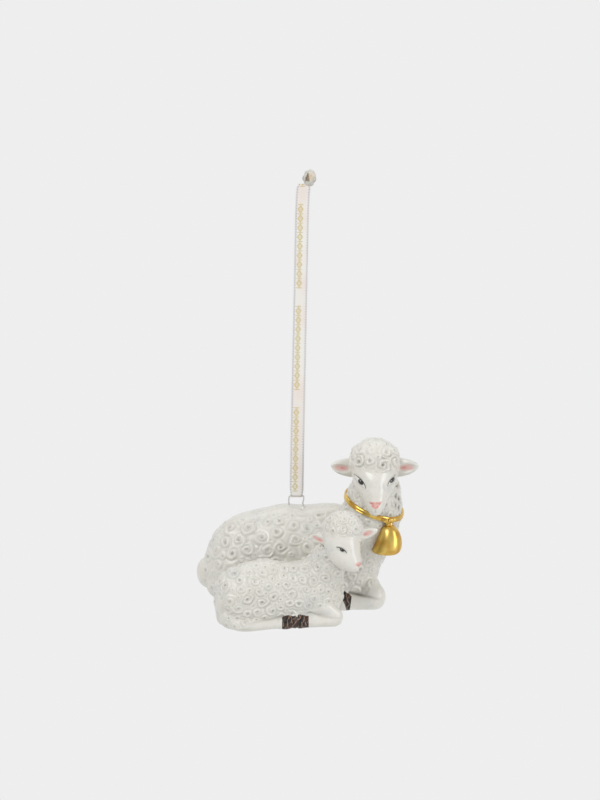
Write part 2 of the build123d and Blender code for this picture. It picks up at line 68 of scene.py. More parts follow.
class Flow:
    # a number on its way between nodes; sums on it add Math nodes
    def __init__(self, recipe, socket):
        self.recipe = recipe
        self.socket = socket

    def maths(self, operation, one, other=None):
        values = {0: one} if other is None else {0: one, 1: other}
        return self.recipe.node("ShaderNodeMath", {"operation": operation}, values)

    def __add__(self, other):
        return self.maths("ADD", self, other)

    def __radd__(self, other):
        return self.maths("ADD", other, self)

    def __sub__(self, other):
        return self.maths("SUBTRACT", self, other)

    def __rsub__(self, other):
        return self.maths("SUBTRACT", other, self)

    def __mul__(self, other):
        return self.maths("MULTIPLY", self, other)

    def __rmul__(self, other):
        return self.maths("MULTIPLY", other, self)

    def __truediv__(self, other):
        return self.maths("DIVIDE", self, other)

    def __pow__(self, other):
        return self.maths("POWER", self, other)

    def __abs__(self):
        return self.maths("ABSOLUTE", self)

    def most(self, other):
        return self.maths("MAXIMUM", self, other)

    def least(self, other):
        return self.maths("MINIMUM", self, other)

    def wave(self):
        return self.maths("SINE", self)

    def root(self):
        return self.maths("SQRT", self)


class Recipe:
    # one material and its nodes
    def __init__(self, name, **sockets):
        self.material = bpy.data.materials.new(name)
        self.material.use_nodes = True
        self.tree = self.material.node_tree
        self.shader = self.tree.nodes["Principled BSDF"]
        for key, value in sockets.items():
            self.shader.inputs[key.replace("_", " ")].default_value = value

    def node(self, kind, settings=None, values=None, out=0):
        made = self.tree.nodes.new(kind)
        for key, value in (settings or {}).items():
            if key == "stops":
                ramp = made.color_ramp
                while len(ramp.elements) < len(value):
                    ramp.elements.new(0.5)
                for element, (place, colour) in zip(ramp.elements, value):
                    element.position = place
                    element.color = colour
            else:
                setattr(made, key, value)
        for key, value in (values or {}).items():
            self.give(made.inputs[key], value)
        return Flow(self, made.outputs[out])

    def give(self, socket, value):
        if isinstance(value, Flow):
            self.tree.links.new(value.socket, socket)
        else:
            socket.default_value = value

    def feed(self, name, value):
        self.give(self.shader.inputs[name], value)

    def soft(self, value, low, high):
        return self.node(
            "ShaderNodeMapRange",
            {"interpolation_type": "SMOOTHSTEP"},
            {"Value": value, "From Min": low, "From Max": high},
        )

    def mix(self, share, one, other):
        return self.node("ShaderNodeMix", {"data_type": "RGBA"}, {0: share, 6: one, 7: other}, 2)

    def objectPlace(self):
        return self.node("ShaderNodeTexCoord", out="Object")

    def uprightPlace(self):
        return self.node(
            "ShaderNodeMapping",
            None,
            {
                "Vector": self.objectPlace(),
                "Location": upright.translation,
                "Rotation": (-tilt, 0, 0),
                "Scale": (1 / mm, 1 / mm, 1 / mm),
            },
        )

    def parts(self, vector):
        split = self.node("ShaderNodeSeparateXYZ", None, {0: vector}).socket.node
        return [Flow(self, output) for output in split.outputs]

    def mottle(self, vector, scale, detail=2.0):
        return self.node("ShaderNodeTexNoise", None, {"Vector": vector, "Scale": scale, "Detail": detail})

    def attribute(self, name):
        return self.node("ShaderNodeAttribute", {"attribute_name": name}, None, "Fac")

    def bump(self, height, strength, distance):
        made = self.node("ShaderNodeBump", None, {"Height": height, "Strength": strength, "Distance": distance})
        self.feed("Normal", made)


def rgb(red, green, blue):
    # a colour as it is read from a picture, made linear
    return tuple(((v / 255 + 0.055) / 1.055) ** 2.4 for v in (red, green, blue)) + (1.0,)


# Mesh helpers

def borrow(*names):
    # a merged copy of CAD pieces, upright and in millimetres
    form = bmesh.new()
    for name in names:
        form.from_mesh(nodes[name].data)
    bmesh.ops.transform(form, matrix=upright, verts=form.verts)
    bmesh.ops.remove_doubles(form, verts=form.verts, dist=0.0005)
    return form


def ball(form, spot, halves, turn=(0, 0, 0), detail=3):
    # an ellipsoid of the given half widths, added to a form
    lean = Euler([math.radians(angle) for angle in turn])
    place = Matrix.LocRotScale(Vector(spot), lean, Vector(halves))
    bmesh.ops.create_icosphere(form, subdivisions=detail, radius=1, matrix=place)


def recast(form, voxel):
    # one even skin of squares round everything in the form
    mesh = bpy.data.meshes.new("rough")
    form.to_mesh(mesh)
    form.free()
    rough = bpy.data.objects.new("rough", mesh)
    bpy.context.scene.collection.objects.link(rough)
    remesh = rough.modifiers.new("recast", "REMESH")
    remesh.mode = "VOXEL"
    remesh.voxel_size = voxel * fine
    seen = rough.evaluated_get(bpy.context.evaluated_depsgraph_get())
    even = bpy.data.meshes.new_from_object(seen)
    bpy.data.objects.remove(rough)
    bpy.data.meshes.remove(mesh)
    return even


def trim(spots, faces, keep):
    # the kept faces with only their own corners
    used, corners = np.unique(faces[keep], return_inverse=True)
    return spots[used], corners.reshape(-1, 4), used


def ramp(values, low, high):
    # 0 below low, 1 above high, smooth between
    share = np.clip((values - low) / (high - low), 0, 1)
    return share * share * (3 - 2 * share)


def bell(values, width):
    # 1 at zero, falling off on both sides
    return np.exp(-((values / width) ** 2))


class Skin:
    # the outer surface of a casting as arrays, for sculpting
    def __init__(self, form, voxel, names=()):
        mesh = recast(form, voxel)
        spots = np.empty(len(mesh.vertices) * 3)
        mesh.vertices.foreach_get("co", spots)
        spots = spots.reshape(-1, 3)
        faces = np.empty(len(mesh.loops), np.int32)
        mesh.loops.foreach_get("vertex_index", faces)
        faces = faces.reshape(-1, 4)
        bpy.data.meshes.remove(mesh)
        island = self.islands(len(spots), faces)
        largest = np.bincount(island).argmax()  # the smaller ones are the walls of closed hollows
        self.spots, self.faces, unused = trim(spots, faces, island[faces[:, 0]] == largest)
        self.count = len(self.spots)
        self.one = self.faces.ravel()
        self.other = np.roll(self.faces, -1, axis=1).ravel()
        self.joined = np.bincount(self.one, minlength=self.count)
        self.names = names
        self.notes = {}
        if names:
            self.owner = self.owners()

    def islands(self, count, faces):
        label = np.arange(count)
        while True:
            lowest = np.repeat(label[faces].min(axis=1), 4)
            new = label.copy()
            np.minimum.at(new, faces.ravel(), lowest)
            new = new[new]
            if (new == label).all():
                return label
            label = new

    def owners(self):
        # the CAD piece that lies nearest to each vertex
        corners, faces, owner = [], [], []
        for index, name in enumerate(self.names):
            mesh = nodes[name].data
            start = len(corners)
            corners += [upright @ vert.co for vert in mesh.vertices]
            faces += [[start + k for k in face.vertices] for face in mesh.polygons]
            owner += [index] * len(mesh.polygons)
        tree = BVHTree.FromPolygons(corners, faces)
        return np.array([owner[tree.find_nearest(Vector(spot))[2]] for spot in self.spots])

    def belongs(self, *names):
        return np.isin(self.owner, [self.names.index(name) for name in names])

    def average(self, values):
        return np.bincount(self.one, values[self.other], self.count) / self.joined

    def relax(self, times, where=None):
        share = 0.5 if where is None else 0.5 * where[:, None]
        for _ in range(int(times / fine**2) + 1):
            mean = np.stack([self.average(self.spots[:, k]) for k in range(3)], axis=1)
            self.spots += share * (mean - self.spots)
        return self

    def spread(self, values, times):
        for _ in range(int(times / fine**2) + 1):
            values = 0.5 * values + 0.5 * self.average(values)
        return values

    def normals(self):
        corner = self.spots[self.faces]
        way = np.cross(corner[:, 2] - corner[:, 0], corner[:, 3] - corner[:, 1])
        total = [np.bincount(self.one, np.repeat(way[:, k], 4), self.count) for k in range(3)]
        total = np.stack(total, axis=1)
        return total / np.linalg.norm(total, axis=1, keepdims=True)

    def push(self, height):
        self.spots += self.normals() * height[:, None]

    def flat(self, middle, out, side, radius):
        # the vertices round a place, laid out on the plane that touches the skin there
        away = self.spots - middle
        near = np.flatnonzero((away * away).sum(axis=1) < radius**2)
        away = away[near]
        side = side - out * (side @ out)
        side /= np.linalg.norm(side)
        return near, away @ side, away @ np.cross(out, side)

    def mesh(self, name, keep=None):
        keep = np.ones(len(self.faces), bool) if keep is None else keep
        spots, faces, used = trim(self.spots, self.faces, keep)
        mesh = bpy.data.meshes.new(name)
        mesh.from_pydata(spots.tolist(), [], faces.tolist())
        for note, values in self.notes.items():
            layer = mesh.attributes.new(note, "FLOAT", "POINT")
            layer.data.foreach_set("value", np.clip(values[used], 0, 1).astype(np.float32))
        return mesh

    def piece(self, node, material, slot):
        # the stretch of skin that belongs to one CAD piece
        keep = self.owner[self.faces[:, 0]] == self.names.index(node)
        return settle(self.mesh(node, keep), node + "_glazed", material, slot, node)


def settle(mesh, name, material, slot, *replaced):
    # a finished piece of the figurine, hung in place
    mesh.transform(hang)
    return finish(mesh, name, "figurine", material, slot, *replaced)


def finish(mesh, name, body, material, slot, *replaced):
    mesh.name = name
    mesh.polygons.foreach_set("use_smooth", [True] * len(mesh.polygons))
    mesh.materials.clear()
    mesh.materials.append(material)
    mesh.update()
    piece = bpy.data.objects.new(name, mesh)
    bpy.context.scene.collection.objects.link(piece)
    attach(piece, body)
    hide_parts(*replaced)
    triangles = sum(len(face.vertices) - 2 for face in mesh.polygons)
    print("piece", name, "triangles", triangles)
    return piece


# Fleece

# Sizes of a curl as shares of its distance to the next one
curlLook = {
    "ring": 0.290,  # radius of the first turn
    "pitch": 0.370,  # from one turn to the next
    "lock": 0.165,
    "dome": 0.075,
    "eye": 0.060,
    "eyeRadius": 0.125,
    "reach": 0.95,
    "sway": 0.16,
    "swayStep": 3.2,  # mm
    "smallest": 0.62,  # of the curls that fill the gaps
}


def scatter(skin, allowed, spacing, tries=9000):
    # curl middles that keep their distance: large ones first, then small ones in what is left
    chosen = []
    gaps = []
    for size in (1.0, curlLook["smallest"]):
        for index in dice.permutation(np.flatnonzero(allowed))[:tries]:
            gap = size * spacing[index] * dice.uniform(0.86, 1.12)
            if chosen:
                away = np.linalg.norm(skin.spots[chosen] - skin.spots[index], axis=1)
                if (away < 0.5 * (np.array(gaps) + gap)).any():
                    continue
            chosen.append(index)
            gaps.append(gap)
    print("curls", len(chosen))
    return chosen, gaps


def curls(skin, allowed, spacing):
    # round locks that wind out of an eye until they meet the next curl's
    normals = skin.normals()
    sway = [noise.noise_vector(Vector(spot) / curlLook["swayStep"]) for spot in skin.spots]
    sway = np.array(sway) * curlLook["sway"]
    nearest = np.full(skin.count, np.inf)
    dome = np.zeros(skin.count)
    lock = np.zeros(skin.count)
    eye = np.zeros(skin.count)
    for index, gap in zip(*scatter(skin, allowed, spacing)):
        reach = gap * curlLook["reach"]
        near, run, over = skin.flat(skin.spots[index], normals[index], dice.normal(size=3), reach)
        run = run / gap + sway[near, 0]
        over = over / gap + sway[near, 1]
        away = np.hypot(run, over)
        won = away < nearest[near]
        near, run, over, away = near[won], run[won], over[won], away[won]
        nearest[near] = away
        wind = dice.choice((-1, 1, 0), p=(0.34, 0.34, 0.32))  # a spiral either way, or a closed ring
        turn = math.tau * (away - curlLook["ring"]) / curlLook["pitch"] + wind * np.arctan2(over, run)
        ridge = (0.5 + 0.5 * np.cos(turn)) ** 0.8 * ramp(away, 0.04, 0.15)
        ridge *= 1 - 0.4 * ramp(away, 0.42, 0.70)
        lock[near] = ridge * gap * curlLook["lock"] * dice.uniform(0.8, 1.1)
        dome[near] = np.clip(1 - (away / 0.62) ** 2, 0, 1)
        eye[near] = bell(away, curlLook["eyeRadius"]) * dice.uniform(0.45, 1.0)
    return dome, lock, eye


def woolly(skin, allowed, within, spacing, strength, cover=0.0, lumpy=0.25):
    # raises curls round the allowed middles and notes where greyish glaze gathers, with painted shade in the hollows
    # and the curls' eyes
    dome, lock, eye = curls(skin, allowed, spacing)
    woolled = skin.spread(within * 1.0, 3)
    lumps = np.array([noise.noise(Vector(spot) * 0.17) for spot in skin.spots])
    height = (dome * curlLook["dome"] - eye * curlLook["eye"]) * spacing + lock + lumpy * lumps
    height = skin.spread(height * strength * woolled, 1)
    # painted shade: hollows below their surroundings and the curls' eyes get darker, along with greyish glaze pooled
    # there
    low = (skin.spread(height, 24) - height) / (0.13 * spacing)
    low = np.maximum(low * 0.75, 1.1 * eye * np.clip(strength * 1.4, 0, 1)) * woolled
    middle = np.average(height, weights=woolled + 1e-6)
    sunk = middle * woolled * np.clip(strength, 0, 1)
    skin.push(height - sunk + cover * skin.spread(np.clip(dome * 4, 0, 1) * woolled, 2))
    skin.notes["low"] = np.clip(low, 0, 1)


# slots in the wool of the ewe's neck, on its right, carved and darkened with painted shade: the topmost, the step to
# the next and their half sizes
neckSlots = {"top": (43.7, 56.0), "step": (-0.05, -1.9), "count": 7, "half": (0.70, 1.00),
             "sway": 0.75, "deep": 0.9, "front": 0.0}


def slots(skin):
    # carves the slots and returns where their painted shade goes
    x, y, z = skin.spots.T
    shade = np.zeros(skin.count)
    for k in range(neckSlots["count"]):
        cx = neckSlots["top"][0] + k * neckSlots["step"][0] + neckSlots["sway"] * (-1) ** k
        cz = neckSlots["top"][1] + k * neckSlots["step"][1]
        seen = (np.abs(x - cx) < 0.5) & (np.abs(z - cz) < 0.5) & (y < neckSlots["front"])
        if not seen.any():
            continue
        away = ((x - cx) / neckSlots["half"][0]) ** 2 + ((z - cz) / neckSlots["half"][1]) ** 2
        away = away + ((y - np.median(y[seen])) / neckSlots["deep"]) ** 2
        shade = np.maximum(shade, np.exp(-away))
    skin.push(-0.6 * shade)
    return shade


# Glazes

glaze = {
    "white": rgb(219, 217, 209),
    "face": rgb(222, 220, 212),
    # greyish pooled glaze, which also carries painted shade in the wool's hollows and curl eyes
    "pooled_glaze_and_shade": rgb(142, 139, 130),
    "grey": rgb(196, 196, 194),
    "warm": rgb(214, 209, 195),
    "painted_shade": rgb(96, 90, 78),
    "pink": rgb(222, 172, 164),
    "deepPink": rgb(198, 128, 120),
    "salmon": rgb(226, 138, 124),
    "ink": rgb(30, 27, 27),
    "lid": rgb(120, 116, 112),
    "roughness": 0.22,
    "coat": 0.35,
}

hornLook = {
    "brown": rgb(56, 35, 25),
    "dark": rgb(10, 5, 3),
    "line": rgb(158, 128, 108),
    "apart": 1.9,  # mm between scratched lines
}


def glazed(name, colour):
    # a slightly uneven, clouded porcelain glaze
    recipe = Recipe(name, Coat_Weight=glaze["coat"], Coat_Roughness=0.08)
    place = recipe.uprightPlace()
    cloud = recipe.mottle(place, 0.09, 3.0)
    toned = recipe.mix(recipe.soft(cloud, 0.50, 0.75) * 0.45, colour, glaze["grey"])
    toned = recipe.mix(recipe.soft(cloud, 0.50, 0.25) * 0.30, toned, glaze["warm"])
    recipe.feed("Roughness", glaze["roughness"] + 0.14 * recipe.mottle(place, 0.6))
    recipe.bump(recipe.mottle(place, 0.8, 2.0), 0.15, 0.0004)
    return recipe, place, toned


def castingGlaze(name, colour):
    # wool, skin and painted horn of the bodies; the paint's edges are kept on the vertices
    recipe, place, toned = glazed(name, colour)
    # pooled glaze and painted shade in the hollows and the curls' eyes
    toned = recipe.mix(recipe.attribute("low") * 0.80, toned, glaze["pooled_glaze_and_shade"])
    # painted shade in the carved creases and neck slots
    toned = recipe.mix(recipe.attribute("deep"), toned, glaze["painted_shade"])
    x, y, z = recipe.parts(place)
    warp = recipe.mottle(place, 0.35, 2.0)
    turn = math.tau / hornLook["apart"]
    upLines = ((x + 0.25 * z + warp * 3.0) * turn).wave()
    slants = ((x * 0.75 - z * 0.66 + warp * 2.0) * turn).wave()
    broken = recipe.soft(recipe.mottle(place, 0.45, 2.0), 0.42, 0.58)
    scratch = recipe.soft(upLines, 0.62, 0.95) * broken
    scratch = scratch.most(recipe.soft(slants, 0.72, 0.98) * (1 - broken))
    painted = recipe.mix(recipe.soft(warp, 0.38, 0.62), hornLook["dark"], hornLook["brown"])
    painted = recipe.mix(scratch * 0.8, painted, hornLook["line"])
    horn = recipe.soft(recipe.attribute("horn"), 0.40, 0.60)
    recipe.feed("Base Color", recipe.mix(horn, toned, painted))
    recipe.feed("Coat Weight", glaze["coat"] * (1 - horn * 0.8))
    return recipe.material


def along(x, z, spot, turn):
    # x and z seen along and across a slanting line through a spot
    angle = math.radians(turn)
    dx, dz = x - spot[0], z - spot[1]
    return dx * math.cos(angle) + dz * math.sin(angle), dz * math.cos(angle) - dx * math.sin(angle)


def oval(recipe, x, z, spot, halves, turn=0, edge=0.2):
    # a soft-edged oval of paint, 1 inside
    run, over = along(x, z, spot, turn)
    run, over = run / halves[0], over / halves[1]
    return 1 - recipe.soft((run * run + over * over).root(), 1 - edge, 1 + edge)


def eyePaint(recipe, toned, x, z, front, eye):
    # an almond eye: pale ball, dark iris with a glint, a lash line and the lid's grey crease
    run, over = along(x, z, eye["at"], eye["turn"])
    arch = eye["high"] * (1 - (run / eye["long"]) ** 2)
    ends = (1 - recipe.soft(abs(run), eye["long"] * 0.93, eye["long"] * 1.03)) * front
    inside = recipe.soft(arch - abs(over), -0.05, 0.10) * ends
    toned = recipe.mix(inside * 0.5, toned, glaze["face"])
    ix, iz = (run - eye["iris"][0]) / eye["irisHalf"][0], (over - eye["iris"][1]) / eye["irisHalf"][1]
    iris = (1 - recipe.soft((ix * ix + iz * iz).root(), 0.86, 1.12)) * recipe.soft(arch + 0.1 - over, -0.1, 0.1) * ends
    toned = recipe.mix(iris, toned, glaze["ink"])
    thick = eye["lash"] * (1 - 0.55 * (run / eye["long"]) ** 2)
    upper = 1 - recipe.soft(abs(over - arch) / thick, 0.6, 1.5)
    lower = 1 - recipe.soft(abs(over + arch * 0.9), 0.03, 0.26)
    crease = 1 - recipe.soft(abs(over - arch - eye["lidHigh"]), 0.04, 0.26)
    toned = recipe.mix(crease * ends * 0.35, toned, glaze["lid"])
    toned = recipe.mix(lower * ends * 0.42, toned, glaze["lid"])
    toned = recipe.mix(upper * ends * 0.95, toned, glaze["ink"])
    glint = oval(recipe, ix, iz, (-0.38, 0.34), (0.15, 0.20), 0, 0.4)
    return recipe.mix(glint * iris * 0.9, toned, glaze["face"])


def eyeRelief(skin, eye, front):
    # the ball stands out between two lids, in a shallow socket
    x, y, z = skin.spots.T
    run, over = along(x, z, eye["at"], eye["turn"])
    arch = eye["high"] * (1 - (run / eye["long"]) ** 2)
    ends = (1 - ramp(np.abs(run), eye["long"] * 0.8, eye["long"] * 1.25)) * (y < front)
    lid = 0.26 * bell(over - arch - 0.32, 0.30)
    under = 0.15 * bell(over + arch + 0.30, 0.30)
    socket = -0.40 * bell(over, 2.6) * (1 - ramp(np.abs(run), eye["long"], eye["long"] * 1.8)) * (y < front)
    ball = 0.20 * np.clip(1 - (run / eye["long"]) ** 2 - (over / eye["high"]) ** 2, 0, 1)
    return (lid + under + ball) * ends + socket


def crease(skin, route, front, width):
    # a groove along places seen from the front; the third number is its depth there
    x, y, z = skin.spots.T
    near = np.flatnonzero((y < front) & (z < max(point[1] for point in route) + 2))
    route = np.array(route)
    steps = np.linspace(0, len(route) - 1, 60)
    line = np.stack([np.interp(steps, range(len(route)), route[:, k]) for k in range(3)], axis=1)
    away = (x[near, None] - line[:, 0]) ** 2 + (z[near, None] - line[:, 1]) ** 2
    groove = np.zeros(skin.count)
    groove[near] = (np.exp(-away / width**2) * line[:, 2]).max(axis=1)
    return groove


# The ewe

ewe = {
    "names": ("ewe_body", "ewe_tail", "ewe_foreleg_near", "ewe_foreleg_far", "ewe_hindleg_far",
              "ewe_hoof_near", "ewe_hoof_far", "ewe_hind_hoof_far"),
    "voxel": 0.40,
    "plugs": (((0, 0, 3.6), 3.0), ((33.5, -4.6, 47), 6.0), ((33.5, -4.8, 51), 6.0),
              ((-3.0, -2.2, 42.0), 1.2), ((3.0, -2.2, 42.0), 1.2)),
    "backCurl": 5.5,
    "ridge": 0.6,  # mm that the smooth top of the back is filled out by
    "chestCurl": 4.2,
    "crease": ((22.8, 8.1, 1.0), (27.4, 7.3, 1.0), (31.7, 6.7, 0.55), (36.0, 5.6, 0.15), (38.0, 5.0, 0.0)),
    "hoofLeft": ((0.0, 21.7), (3.5, 20.9), (7.0, 19.4), (9.8, 17.5)),  # height and x of the painted hoof's two edges
    "hoofRight": ((0.0, 22.9), (3.9, 23.4), (6.8, 23.8), (9.0, 20.6)),
}


def makeEwe():
    form = borrow(*ewe["names"])
    for spot, radius in ewe["plugs"]:
        ball(form, spot, (radius, radius, radius))
    skin = Skin(form, ewe["voxel"], ewe["names"])
    x, y, z = skin.spots.T
    leg = skin.belongs("ewe_foreleg_near", "ewe_hoof_near")
    hoofs = skin.belongs("ewe_hoof_far", "ewe_hind_hoof_far") * 1.0
    skin.relax(28)
    x, y, z = skin.spots.T
    body = skin.belongs("ewe_body")
    above = np.interp(x, (22.8, 38), (9.0, 6.4))
    onLeg = leg & (z > above) & (x < 33.2 + 0.8 * (z - 12))
    allowed = (body & ((z > 1.5) & ~((x > 19) & (z < above) & (y < -8)))) | onLeg
    chest = ramp(x, 17, 25)
    spacing = ewe["backCurl"] + (ewe["chestCurl"] - ewe["backCurl"]) * chest
    smooth = ramp(skin.normals()[:, 2], 0.82, 0.94) * (1 - chest)
    skin.push(ewe["ridge"] * skin.spread(smooth * (z > 30), 6))
    top = 1 - smooth
    rump = 1 - 0.40 * ramp(-x, 28, 38)
    strength = top * rump * ramp(z, 1.5, 4.0)
    woolly(skin, allowed, allowed, spacing, strength)
    groove = crease(skin, ewe["crease"], -8, 0.55)
    shade = slots(skin)
    skin.push(-0.45 * groove)
    x, y, z = skin.spots.T
    left = np.interp(z, *np.array(ewe["hoofLeft"]).T)
    right = np.interp(z, *np.array(ewe["hoofRight"]).T)
    horn = ramp(x - left, -0.35, 0.35) * ramp(right - x, -0.35, 0.35) * (y < -9) * (z < 9.0)
    skin.notes["horn"] = np.maximum(horn, skin.spread(hoofs, 2))
    # painted shade in the foreleg's crease and the neck's slots
    skin.notes["deep"] = np.maximum(groove * 0.85, shade)
    locks = np.sin(1.5 * y + 0.6 * np.sin(0.4 * z)) * skin.spread(skin.belongs("ewe_tail") * 1.0, 3)
    skin.push(0.16 * locks)
    skin.piece("ewe_body", woolGlaze, "white_glaze")
    skin.piece("ewe_tail", woolGlaze, "white_glaze")
    for name in ewe["names"][2:5]:
        skin.piece(name, skinGlaze, "face_glaze")
    for name in ewe["names"][5:]:
        skin.piece(name, hornGlaze, "hoof_glaze")


eweHead = {
    "names": ("ewe_head", "ewe_ear_left", "ewe_ear_right"),
    "voxel": 0.22,
    "plugs": (((33.6, -5.2, 57.5), 5.0), ((33.6, -6.5, 60), 5.5)),
    "nape": ((33.8, -1.6, 58.3), (7.6, 6.3, 5.6)),  # wool that carries the cap down to the neck
    "curl": 4.7,
    "smooth": (69.0, 72.0),  # the cap's top has no curls
    "fringe": ((22.0, 66.5), (24.2, 65.6), (27.6, 63.9), (31.0, 63.9), (34.2, 62.9), (37.4, 63.6), (41.0, 63.6), (44.5, 65.6)),
    "eyes": (
        {"at": (27.05, 58.65), "turn": -42, "long": 3.4, "high": 1.22, "iris": (0.25, 0.22),
         "irisHalf": (1.25, 1.00), "lash": 0.26, "lidHigh": 0.75},
        {"at": (40.85, 58.75), "turn": 40, "long": 2.65, "high": 1.10, "iris": (0.30, 0.22),
         "irisHalf": (1.18, 0.92), "lash": 0.22, "lidHigh": 0.62},
    ),
    "front": -11.5,
    "noseFront": -20.5,
    "noseTop": 51.2,
    "noseLow": 48.5,
    "noseMiddle": 33.55,
    "noseHalf": 2.75,
    "ears": (
        {"at": (19.3, 62.4), "half": (3.5, 1.35), "turn": -10, "deep": (19.8, 62.2)},
        {"at": (47.2, 62.5), "half": (3.2, 1.45), "turn": 9, "deep": (46.2, 62.4)},
    ),
}


def cupEars(skin, ears, owned, carve):
    # carves each ear's front into a cup; its middle is kept for the pink paint
    x, y, z = skin.spots.T
    facing = ramp(-skin.normals()[:, 1], 0.1, 0.6) * owned
    cup = np.zeros(skin.count)
    pink = np.zeros(skin.count)
    core = np.zeros(skin.count)
    for ear in ears:
        run, over = along(x, z, ear["at"], ear["turn"])
        away = np.hypot(run / (ear["half"][0] * 1.25), over / (ear["half"][1] * 1.45))
        cup = np.maximum(cup, np.clip(1 - away**2, 0, 1) ** 0.8 * facing)
        away = np.hypot(run / ear["half"][0], over / ear["half"][1])
        pink = np.maximum(pink, (1 - ramp(away, 0.72, 1.12)) * facing)
        run, over = along(x, z, ear["deep"], ear["turn"])
        away = np.hypot(run / (ear["half"][0] * 0.6), over / (ear["half"][1] * 0.55))
        core = np.maximum(core, (1 - ramp(away, 0.1, 1.0)) * facing)
    skin.spots[:, 1] += skin.spread(cup * carve, 2)
    skin.notes["pink"] = skin.spread(pink, 1)
    skin.notes["core"] = core


def makeEweHead():
    form = borrow(*eweHead["names"])
    for spot, radius in eweHead["plugs"]:
        ball(form, spot, (radius, radius, radius))
    ball(form, *eweHead["nape"])
    skin = Skin(form, eweHead["voxel"], eweHead["names"])
    skin.relax(40)
    x, y, z = skin.spots.T
    head = skin.belongs("ewe_head")
    change = sum(eyeRelief(skin, eye, eweHead["front"]) for eye in eweHead["eyes"])
    snout = y < -19
    middle, top, lowest = eweHead["noseMiddle"], eweHead["noseTop"], eweHead["noseLow"]
    for side in (-1, 1):
        nostril = ((x - middle - side * 1.6) / 0.75) ** 2 + ((z - top + 0.75) / 0.5) ** 2
        change = change - 0.40 * np.exp(-nostril) * snout
    change = change + 0.22 * bell(np.hypot((x - middle) / 2.4, (z - top + 0.6) / 1.3), 1.0) * snout
    cleft = bell(x - middle + 0.1, 0.32) * ramp(z, 45.8, 46.8) * (1 - ramp(z, lowest - 0.4, lowest + 0.4))
    lips = bell(z - 46.6 - 0.045 * (x - middle) ** 2, 0.28) * (1 - ramp(np.abs(x - middle), 2.0, 3.6))
    change = change - (0.26 * cleft + 0.22 * lips) * snout
    ridge = bell(x - 33.9, 3.0) * ramp(z, 52, 55) * (1 - ramp(z, 61, 64)) * (y < -14)
    skin.push(skin.spread(change + 0.40 * ridge * head, 1))
    cupEars(skin, eweHead["ears"], skin.belongs("ewe_ear_left", "ewe_ear_right"), 1.1)
    x, y, z = skin.spots.T
    fringe = np.interp(x, *np.array(eweHead["fringe"]).T)
    sides = ((y >= -7) & (z > 48)) | ((x > 42.2) & (z < 58.0) & (y > -16))
    allowed = head & (((z > fringe + 1.7) & (y < -7)) | sides)
    within = head & (((z > fringe - 0.5) & (y < -7)) | sides)
    aside = ramp(np.abs(x - eweHead["noseMiddle"]), 8.5, 11.0)
    strength = (1 - 0.85 * ramp(z, *eweHead["smooth"])) * np.where(z < 60, 0.7, 1.3 - 0.8 * aside)
    woolly(skin, allowed, within, np.full(skin.count, eweHead["curl"]), strength, cover=0.5)
    # painted shade in the neck's slots
    skin.notes["deep"] = slots(skin)
    material = headGlaze("ewe_head_glaze", eweHead)
    for name in eweHead["names"]:
        skin.piece(name, material, "face_glaze")


def headGlaze(name, head):
    recipe, place, toned = glazed(name, glaze["face"])
    x, y, z = recipe.parts(place)
    # pooled glaze and painted shade in the hollows and the curls' eyes
    toned = recipe.mix(recipe.attribute("low") * 0.80, toned, glaze["pooled_glaze_and_shade"])
    # painted shade in the carved creases and neck slots
    toned = recipe.mix(recipe.attribute("deep"), toned, glaze["painted_shade"])
    front = 1 - recipe.soft(y, head["front"] - 1, head["front"])
    for eye in head["eyes"]:
        toned = eyePaint(recipe, toned, x, z, front, eye)
    middle, top, lowest = head["noseMiddle"], head["noseTop"], head["noseLow"]
    taper = (z - lowest) * (0.75 * head["noseHalf"] / (top - lowest)) + 0.30 * head["noseHalf"]
    nose = recipe.soft(taper - abs(x - middle), -0.25, 0.35) * (1 - recipe.soft(z, top - 0.1, top + 0.35)) * front
    tip = 1 - recipe.soft(y, head["noseFront"] - 0.5, head["noseFront"])
    nose = nose * recipe.soft(z, lowest - 0.15, lowest + 0.35) * tip
    toned = recipe.mix(nose * 0.80, toned, glaze["pink"])
    toned = recipe.mix(nose * recipe.soft(recipe.mottle(place, 0.8), 0.40, 0.62) * 0.8, toned, glaze["salmon"])
    for side in (-1, 1):
        spot = (middle + side * head["noseHalf"] * 0.55, top - 0.75)
        nostril = oval(recipe, x, z, spot, (0.8, 0.42), side * 20, 0.6)
        toned = recipe.mix(nostril * tip * 0.65, toned, glaze["deepPink"])
    # painted shade: a faint grey line down from the nose, over the cleft carved in the ewe's face
    cleft = oval(recipe, x, z, (middle - 0.1, lowest - 0.9), (0.2, 1.3), 0, 0.6)
    toned = recipe.mix(cleft * tip * 0.30, toned, glaze["lid"])
    toned = recipe.mix(recipe.attribute("pink") * 0.80, toned, glaze["pink"])
    toned = recipe.mix(recipe.attribute("core") * 0.70, toned, glaze["deepPink"])
    recipe.feed("Base Color", toned)
    return recipe.material


# The lamb

